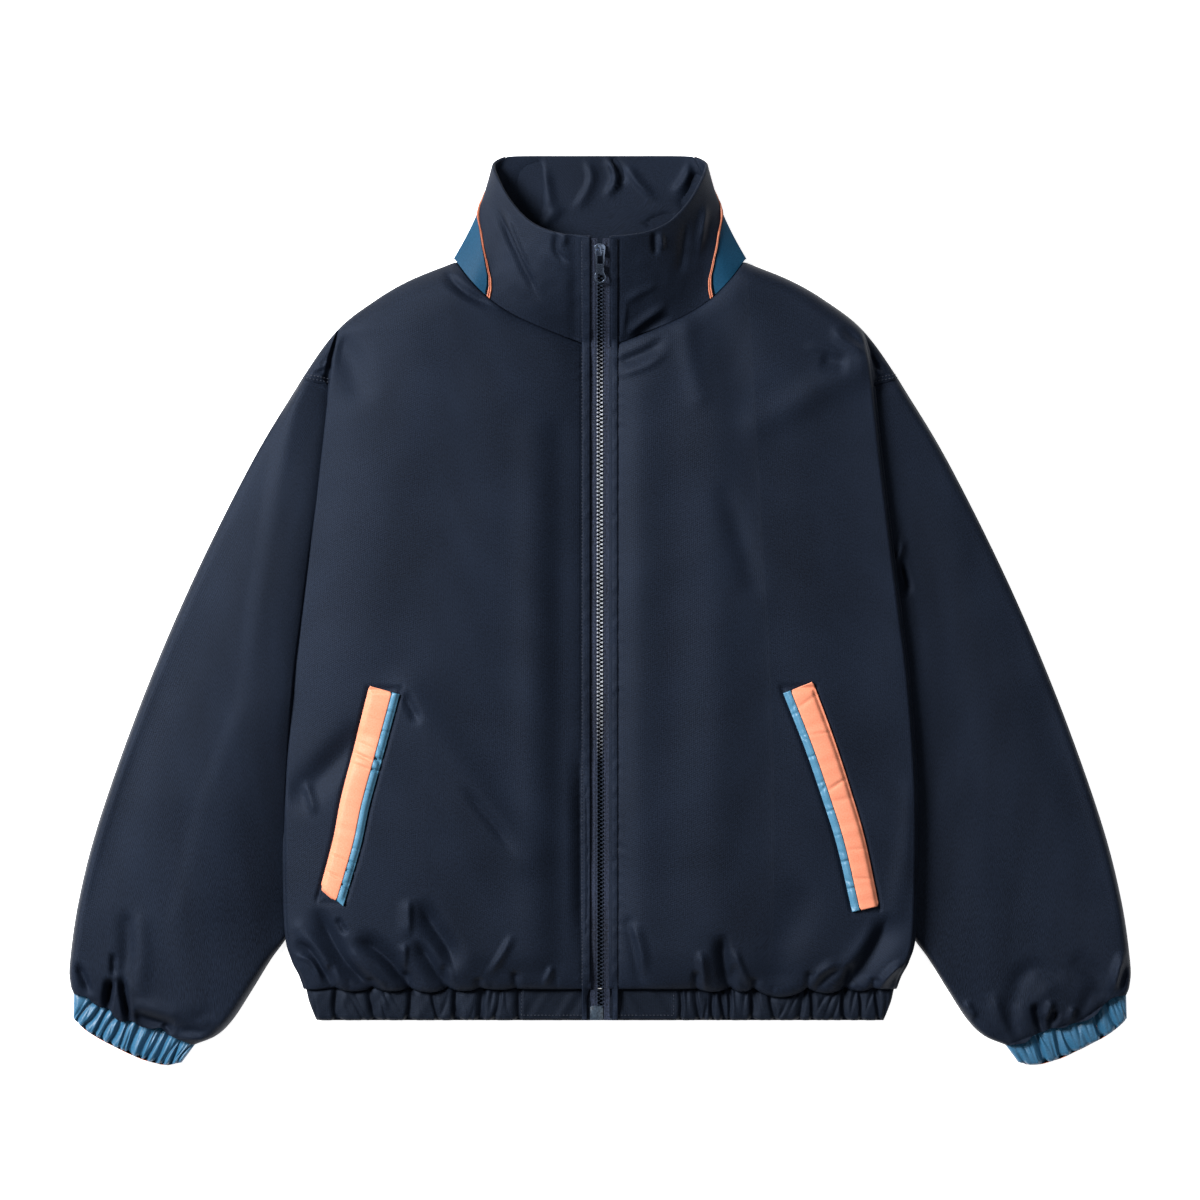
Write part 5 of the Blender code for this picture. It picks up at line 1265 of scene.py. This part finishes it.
# One strip of a pocket: its offsets from the seam at the top and at the foot, for its near and its far edge.
def makeStrip(node, side, surface, near, far, puff, columns):
    sign = sides[side]
    line = SmoothLine(weltSeams[side])
    across = np.concatenate([[-0.06, -0.03], np.linspace(0, 1, columns), [1.03, 1.06]])
    along = np.concatenate([[-0.012, -0.006], np.linspace(0, 1, 200), [1.006, 1.012]])
    isNarrow = node.startswith("pocket_piping")

    def offsetAt(u, v):
        return mix(mix(*near, v), mix(*far, v), clamp(u))

    def place(u, v):
        # the lower end is cut at a slant
        cut = welt["slant"][side] * offsetAt(u, v) / welt["wide"][1] * softStep((v - 0.75) / 0.25)
        x, y = line.at(v - cut)
        aheadX, aheadY = line.at(clamp(v - cut + 0.02))
        behindX, behindY = line.at(np.clip(v - cut - 0.02, 0, 0.97))
        dx, dy = aheadX - behindX, aheadY - behindY
        length = np.hypot(dx, dy)
        beyond = np.maximum(clamp(v) - cut - 1, 0) * line.reach[-1]
        x, y = x + dx / length * beyond, y + dy / length * beyond
        inU, inV = clamp(u), clamp(v)
        offset = offsetAt(u, inV)
        x, y = x - dy / length * offset, y + dx / length * offset
        z = bodyTop(sign * x, y) + welt["lift"] + puff * np.sin(np.pi * inU) ** 0.6
        for at, slant, depth in weltFolds[side]:
            off = np.abs(inV - at - slant * (inU - 0.5) * 0.08) / 0.016
            z = z - depth * np.maximum(1 - off, 0) ** 1.5 * np.sin(np.pi * clamp(inU * 0.8 + 0.1))
        z = z + 0.2 * ripple(inV * 180, 16, sign + 2)
        if isNarrow:
            for at, depth in weltGathers[side]:
                z = z - depth * np.maximum(1 - np.abs(inV - at) / 0.01, 0) ** 1.2
        # rounded corners
        atEnd, atEdge = (clamp(1 - np.minimum(at, 1 - at) / size) for at, size in ((inV, 0.012), (inU, 0.1)))
        x = x + atEnd * atEdge * 1.2 * np.where(inU < 0.5, 1, -1) * (0 if isNarrow else 1)
        edgeDrop = np.maximum(np.maximum(-u, u - 1) / 0.06, np.maximum(-v, v - 1) / 0.012)
        return sign * x, y, z - 2.4 * clamp(edgeDrop)

    return clothGrid(f"{node}_cloth", [node], surface, across, along, place)


for side in sides:
    gap, narrow = welt["seamGap"], -welt["narrow"]
    makeStrip(f"pocket_welt_{side}", side, orangeSatin, (gap, gap), welt["wide"], 0.8, 24)
    makeStrip(f"pocket_piping_{side}", side, blueSatin, (narrow, narrow), (-gap, -gap), 0.35, 12)
print("pockets made")

# ---- zip

zipper = {"sink": 1.7, "tapeInner": 2.2, "tapeOuter": 8.4, "tapeWall": 0.9, "pitch": 3.3,
          "start": 0.045, "end": 0.985, "foldInner": 8.0, "foldOuter": 15.2, "foldPuff": 0.5,
          "foldTilt": {"right": 0.8, "left": -0.2}}


def zipProfile():
    points = []
    for rise in (1.0, 0.9, 0.75, 0.6, 0.4, 0.2, 0.05):
        spot = collarPoint(np.array([0.0]), np.array([rise]), 0)
        points.append((float(spot[1][0]), float(spot[2][0])))
    y = necklinePoints[0][1] - 12
    while y > body["hemSeamY"] + 12:
        full = float(bodyLoft(8.0, sideX(np.array(y))))
        nearNeck = float(quarterRound(neckline.distance(8.0, y) / body["neckRound"]))
        full *= 1 - body["neckDrop"] * (1 - nearNeck)
        aboveHem = float(quarterRound((y - body["hemSeamY"]) / body["hemRound"]))
        points.append((y, mix(min(full, body["hemZ"]), full, aboveHem)))
        y -= 26
    points.append((body["hemSeamY"] - 1, mix(body["hemZ"], band["z"], 0.4)))
    points.append((body["hemSeamY"] - 10, band["z"]))
    points.append((body["hemY"], band["z"]))
    return SmoothLine(points)


zipLine = zipProfile()


# The place at a share down the zip, lifted off it at right angles.
def zipSpot(share, lift):
    y, z = zipLine.at(share)
    aheadY, aheadZ = zipLine.at(share + 0.004)
    behindY, behindZ = zipLine.at(share - 0.004)
    upY, upZ = behindZ - aheadZ, aheadY - behindY
    length = np.hypot(upY, upZ) * np.where(upZ < 0, -1, 1)
    return y + upY / length * lift, z + upZ / length * lift


def makeTape(side):
    sign = sides[side]
    across = np.linspace(0, 1, 14)
    along = np.linspace(0, 0.9995, 260)

    def place(u, v):
        x = mix(zipper["tapeInner"], zipper["tapeOuter"], u)
        bead = 0.35 * np.exp(-(((x - 4.4) / 0.5) ** 2))
        y, z = zipSpot(v, zipper["tapeWall"] - zipper["sink"] + bead)
        return sign * x, y, z

    return clothGrid(f"zip_tape_{side}_cloth", [f"zip_tape_{side}"], zipTape,
                     across, along, place)


# One row of moulded teeth: a root that shines on the tape and a low head that hooks past the middle.
def makeTeeth(side):
    sign = sides[side]
    tooth = bmesh.new()
    parts = (((1.95, 0, 0.1), (1.5, 1.8, 2.0)), ((0.7, 0, -0.1), (1.7, 1.1, 1.2)))
    for at, size in parts:
        made = bmesh.ops.create_cube(tooth, size=1, matrix=Matrix.LocRotScale(Vector(at), None, Vector(size)))
        edges = list({edge for vert in made["verts"] for edge in vert.link_edges})
        bmesh.ops.bevel(tooth, geom=edges, offset=0.42, segments=1, profile=0.5, affect="EDGES", material=-1)
    model = bpy.data.meshes.new("tooth")
    tooth.to_mesh(model)
    tooth.free()
    count = int(zipLine.reach[-1] * (zipper["end"] - zipper["start"]) / zipper["pitch"])
    bm = bmesh.new()
    for i in range(count):
        share = zipper["start"] + (i + (0.5 if sign > 0 else 0)) * zipper["pitch"] / zipLine.reach[-1]
        y, z = zipSpot(share, zipper["tapeWall"] - zipper["sink"] + 0.5)
        aheadY, aheadZ = zipLine.at(share + 0.002)
        behindY, behindZ = zipLine.at(share - 0.002)
        slope = math.atan2(behindZ - aheadZ, behindY - aheadY)
        start = len(bm.verts)
        bm.from_mesh(model)
        bm.verts.ensure_lookup_table()
        place = Matrix.Translation(Vector((0, float(y), float(z))) * mm) @ Matrix.Rotation(slope, 4, "X")
        place = place @ Matrix.Diagonal((sign * mm, mm, mm, 1))
        bmesh.ops.transform(bm, matrix=place, verts=bm.verts[start:])
    if sign < 0:
        bmesh.ops.reverse_faces(bm, faces=bm.faces)
    bpy.data.meshes.remove(model)
    piece = finishPiece(f"zip_teeth_{side}", bm, "jacket", [f"zip_chain_{side}"], brightTeeth)
    piece.data.set_sharp_from_angle(angle=math.radians(35))


# A CAD node's shape with its edges rounded, and reshaped first where a function says how.
def softenedNode(node, name, body, surface, width, reshape=None):
    bm = bmesh.new()
    bm.from_mesh(bpy.data.objects[node].data)
    bmesh.ops.remove_doubles(bm, verts=bm.verts, dist=2e-6)
    bmesh.ops.dissolve_limit(bm, angle_limit=math.radians(2), verts=bm.verts, edges=bm.edges)
    if reshape:
        reshape(bm.verts)
    sharp = [edge for edge in bm.edges if len(edge.link_faces) == 2]
    sharp = [edge for edge in sharp if edge.calc_face_angle() > math.radians(35)]
    bmesh.ops.bevel(bm, geom=sharp, offset=width * mm, segments=2, profile=0.5, affect="EDGES", material=-1,
                    clamp_overlap=True)
    bmesh.ops.triangulate(bm, faces=[face for face in bm.faces if len(face.verts) > 4])
    piece = finishPiece(name, bm, body, [node], surface)
    piece.data.set_sharp_from_angle(angle=math.radians(40))


# The pull's frame is wider and thinner than the CAD's plate, and so is its ring.
def openPull(verts):
    top, foot = max(vert.co.y for vert in verts), min(vert.co.y for vert in verts)
    ring = foot + 5 * mm
    for vert in verts:
        fromRing = math.hypot(vert.co.x, vert.co.y - ring)
        if fromRing < 3.4 * mm:
            vert.co.x *= 1.24
            vert.co.y = ring + 1.24 * (vert.co.y - ring)
        elif vert.co.y > ring + 3 * mm:
            vert.co.x += math.copysign(0.8 * mm, vert.co.x)
            if abs(vert.co.x) < 2.6 * mm and vert.co.y < top - 5 * mm:
                vert.co.y -= 1.5 * mm


# The box reaches over the right tape, and the left film to the cloth's edge.
def widenBox(verts):
    for vert in verts:
        vert.co.x *= 2.75 if vert.co.x < 0 else 0.93


def widenFilm(verts):
    for vert in verts:
        if abs(vert.co.x) > 5 * mm:
            vert.co.x += math.copysign(2.2 * mm, vert.co.x)


# The spot on the collar's front at a distance from the zip, and a share up.
def collarSpot(x, rise, depth, sign):
    sections = np.linspace(0, 2, 21)
    found = collarPoint(sections, np.full(21, rise), depth, sign, collarFolds)
    return [float(np.interp(x, sign * found[0], axis)) for axis in found]


# The fold of cloth beside the teeth, which runs on from the collar to the hem without a seam.
def makeZipFold(side):
    sign = sides[side]
    edges = []
    for x in (zipper["foldInner"], zipper["foldOuter"]):
        spots = [collarSpot(x, rise, 0, sign)[1:] for rise in np.linspace(0.99, 0.02, 40)]
        down = np.arange(spots[-1][0] - 4, body["hemSeamY"] + 2, -3.0)
        spots += np.stack([down, bodyTop(np.full(len(down), sign * x), down) + 0.3], axis=1).tolist()
        spots += [[body["hemSeamY"] - 3, band["z"] + 0.3], [body["hemY"] + 0.5, band["z"] + 0.1]]
        edges.append(SmoothLine([spot for i, spot in enumerate(spots) if i % 3 == 0] + spots[-1:]))
    across = np.linspace(0, 1, 15)
    along = np.linspace(0, 1, 420)

    def place(u, v):
        (nearY, nearZ), (farY, farZ) = edges[0].at(v), edges[1].at(v)
        y = mix(nearY, farY, u)
        z = mix(nearZ, farZ, u) + 0.6
        z = z + zipper["foldPuff"] * np.sin(np.pi * clamp(u)) ** 0.7
        z = z + zipper["foldTilt"][side] * (0.5 - u) + 0.3 * ripple(y, 17, sign + 3.0) * np.sin(np.pi * u)
        down = np.maximum(clamp(1 - u / 0.08) * 3.4, clamp((u - 0.92) / 0.08) * 0.9)
        # at the foot the edge gives way to the zip's box and film
        inner = mix(7.7 if side == "right" else 9.0, 10.4, softStep((v - 0.955) / 0.02))
        x = mix(inner, zipper["foldOuter"], u)
        return sign * x, y, z - down

    return clothGrid(f"zip_fold_{side}_cloth", [], navyPongee, across, along, place)


for make in (makeZipFold, makeTape, makeTeeth):
    for side in sides:
        make(side)
softenedNode("zip_slider", "slider_body", "jacket", gunmetal, 0.25)
softenedNode("zip_pull", "pull_tab", "zip_pull", gunmetal, 0.25, openPull)
softenedNode("zip_box", "zip_retainer", "jacket", mouldedBox, 0.35, widenBox)
for side in sides:
    softenedNode(f"zip_film_{side}", f"foot_film_{side}", "jacket", clearFilm, 0.1, widenFilm)
print("zip made")

# ---- sewing

thread = {"pitch": 3.0, "length": 2.3, "width": 0.75, "height": 0.5}


def stitchModel():
    bm = bmesh.new()
    bmesh.ops.create_icosphere(bm, subdivisions=1, radius=0.5)
    size = Vector((thread["length"], thread["width"], thread["height"])) * mm
    bmesh.ops.scale(bm, vec=size, verts=bm.verts)
    model = bpy.data.meshes.new("stitch")
    bm.to_mesh(model)
    bm.free()
    return model


# Lays stitches end to end along a line of points.
def addStitches(bm, model, line):
    line = np.array(line, float)
    reach = reachAlong(line)
    for along in np.arange(thread["pitch"] / 2, reach[-1], thread["pitch"]):
        spot, ahead, behind = (
            Vector([float(np.interp(along + step, reach, column)) for column in line.T])
            for step in (0, 1, -1)
        )
        turn = (ahead - behind).to_track_quat("X", "Z").to_matrix().to_4x4()
        start = len(bm.verts)
        bm.from_mesh(model)
        bm.verts.ensure_lookup_table()
        bmesh.ops.transform(bm, matrix=Matrix.Translation(spot * mm) @ turn, verts=bm.verts[start:])


def makeStitches(side):
    sign = sides[side]
    model = stitchModel()
    bm = bmesh.new()
    # beside the zip: down the front, and down the collar
    down = np.linspace(218, -315, 300)
    beside = np.full(300, sign * body["stitchX"])
    addStitches(bm, model, np.stack([beside, down, bodyTop(beside, down) + 0.35], axis=1))
    collarRow = [collarSpot(body["stitchX"], rise, -0.1, sign) for rise in np.linspace(0.97, 0.04, 30)]
    addStitches(bm, model, np.array(collarRow) - [0, 0, 0.5])
    # the flat end of the hem band: across, down and back
    end, bandTop = band["stitchEnd"][side], band["z"] - 0.6
    low, high = body["hemY"] + 4.5, body["hemSeamY"] - 3
    box = [(11, low), (end, low), (end, high)]
    addStitches(bm, model, [(sign * x, y, bandTop) for x, y in box])
    # two rows along the armhole seam, on the shoulder cap
    for offset in (2.2, 5.0):
        row = np.linspace(0.04, 0.96, 40)
        x, y = mix(*body["capX"], row), mix(*body["capY"], row) + offset
        addStitches(bm, model, np.stack([sign * x, y, sleeveTop(sign * x, y) + 0.1], axis=1))
    bpy.data.meshes.remove(model)
    finishPiece(f"stitches_{side}", bm, "jacket", [], navyThread)


for side in sides:
    makeStitches(side)
print("sewing made")

# ---- cut sizes of the cloth

# flat width and length in metres, flat area where the cut isn't a rectangle, what the piece lies on, and
# where a name has a * it stands for each side
cuts = {
    "front_*": (0.31, 0.6, 0.152, "back"), "back": (0.58, 0.62, 0.3, "floor"),
    "sleeve_*": (0.46, 0.6, 0.142, "floor"),
    "hem_band_*": (0.3, 0.034, None, "hem_band_back"), "hem_band_back": (0.55, 0.034, None, "floor"),
    "cuff_*": (0.24, 0.04, None, "floor"), "cuff_facing_*": (0.2, 0.015, None, "cuff_*"),
    "collar_front_*": (0.14, 0.2, 0.022, "collar_back"), "collar_back": (0.3, 0.2, 0.044, "floor"),
    "collar_inner_back": (0.3, 0.2, 0.043, "collar_back"),
    "collar_piping_*": (0.013, 0.11, None, "collar_back"),
    "pocket_welt_*": (0.024, 0.19, None, "front_*"), "pocket_piping_*": (0.012, 0.19, None, "front_*"),
    "zip_fold_*": (0.016, 0.66, 0.0066, "front_*"), "zip_tape_*": (0.01, 0.66, 0.0039, "front_*"),
}


def declareSheet(name, width, length, area):
    piece = bpy.data.objects[f"{name}_cloth"]
    share = sum(face.area for face in piece.data.polygons) / (area or width * length)
    print(name, "area share", round(share, 2), "triangles", 2 * len(piece.data.polygons))


# ---- floor, light and camera

grid = bmesh.new()
bmesh.ops.create_grid(grid, x_segments=1, y_segments=1, size=6)
floorMesh = bpy.data.meshes.new("floor")
grid.to_mesh(floorMesh)
grid.free()
floorPiece = bpy.data.objects.new("floor", floorMesh)
bpy.context.scene.collection.objects.link(floorPiece)
floorPiece.location.z = -0.0005
# matt acrylic lit faintly from below, as on a light table, so that the shadows on it stay pale
paper, _, _ = newMaterial("paleAcrylic", {"Base Color": linear("#fdfdfd"), "Roughness": 0.95,
                                          "Emission Color": linear("#ffffff"), "Emission Strength": 0.85})
floorMesh.materials.append(paper)

for name, (width, length, area, under) in cuts.items():
    for side in sides if "*" in name else ("",):
        declareSheet(name.replace("*", side), width, length, area)


def softbox(name, location, target, size, power):
    light = bpy.data.lights.new(name, "AREA")
    light.shape = "RECTANGLE"
    light.size, light.size_y = size
    light.energy = power
    lamp = bpy.data.objects.new(name, light)
    lamp.location = location
    lamp.rotation_euler = (Vector(target) - Vector(location)).to_track_quat("-Z", "Y").to_euler()
    bpy.context.scene.collection.objects.link(lamp)


softbox("key", (-1.98, 0.96, 1.9), (0, 0, 0), (1.1, 1.1), 225)
softbox("fill", (1.7, -0.8, 2.8), (0.3, 0, 0), (2.4, 2.4), 20)
world = bpy.data.worlds.new("studio")
world.use_nodes = True
backdrop = world.node_tree.nodes["Background"].inputs
backdrop["Color"].default_value = (0.95, 0.97, 1.0, 1)
backdrop["Strength"].default_value = 0.1
bpy.context.scene.world = world
bpy.context.scene.view_settings.view_transform = "Standard"

camera = bpy.data.cameras.new("camera")
camera.lens = view["lens"]
camera.sensor_width = view["sensor"]
cameraPiece = bpy.data.objects.new("camera", camera)
cameraPiece.location = (0, view["centreY"] * mm, (view["distance"] + view["focus"]) * mm)
bpy.context.scene.collection.objects.link(cameraPiece)
bpy.context.scene.camera = cameraPiece
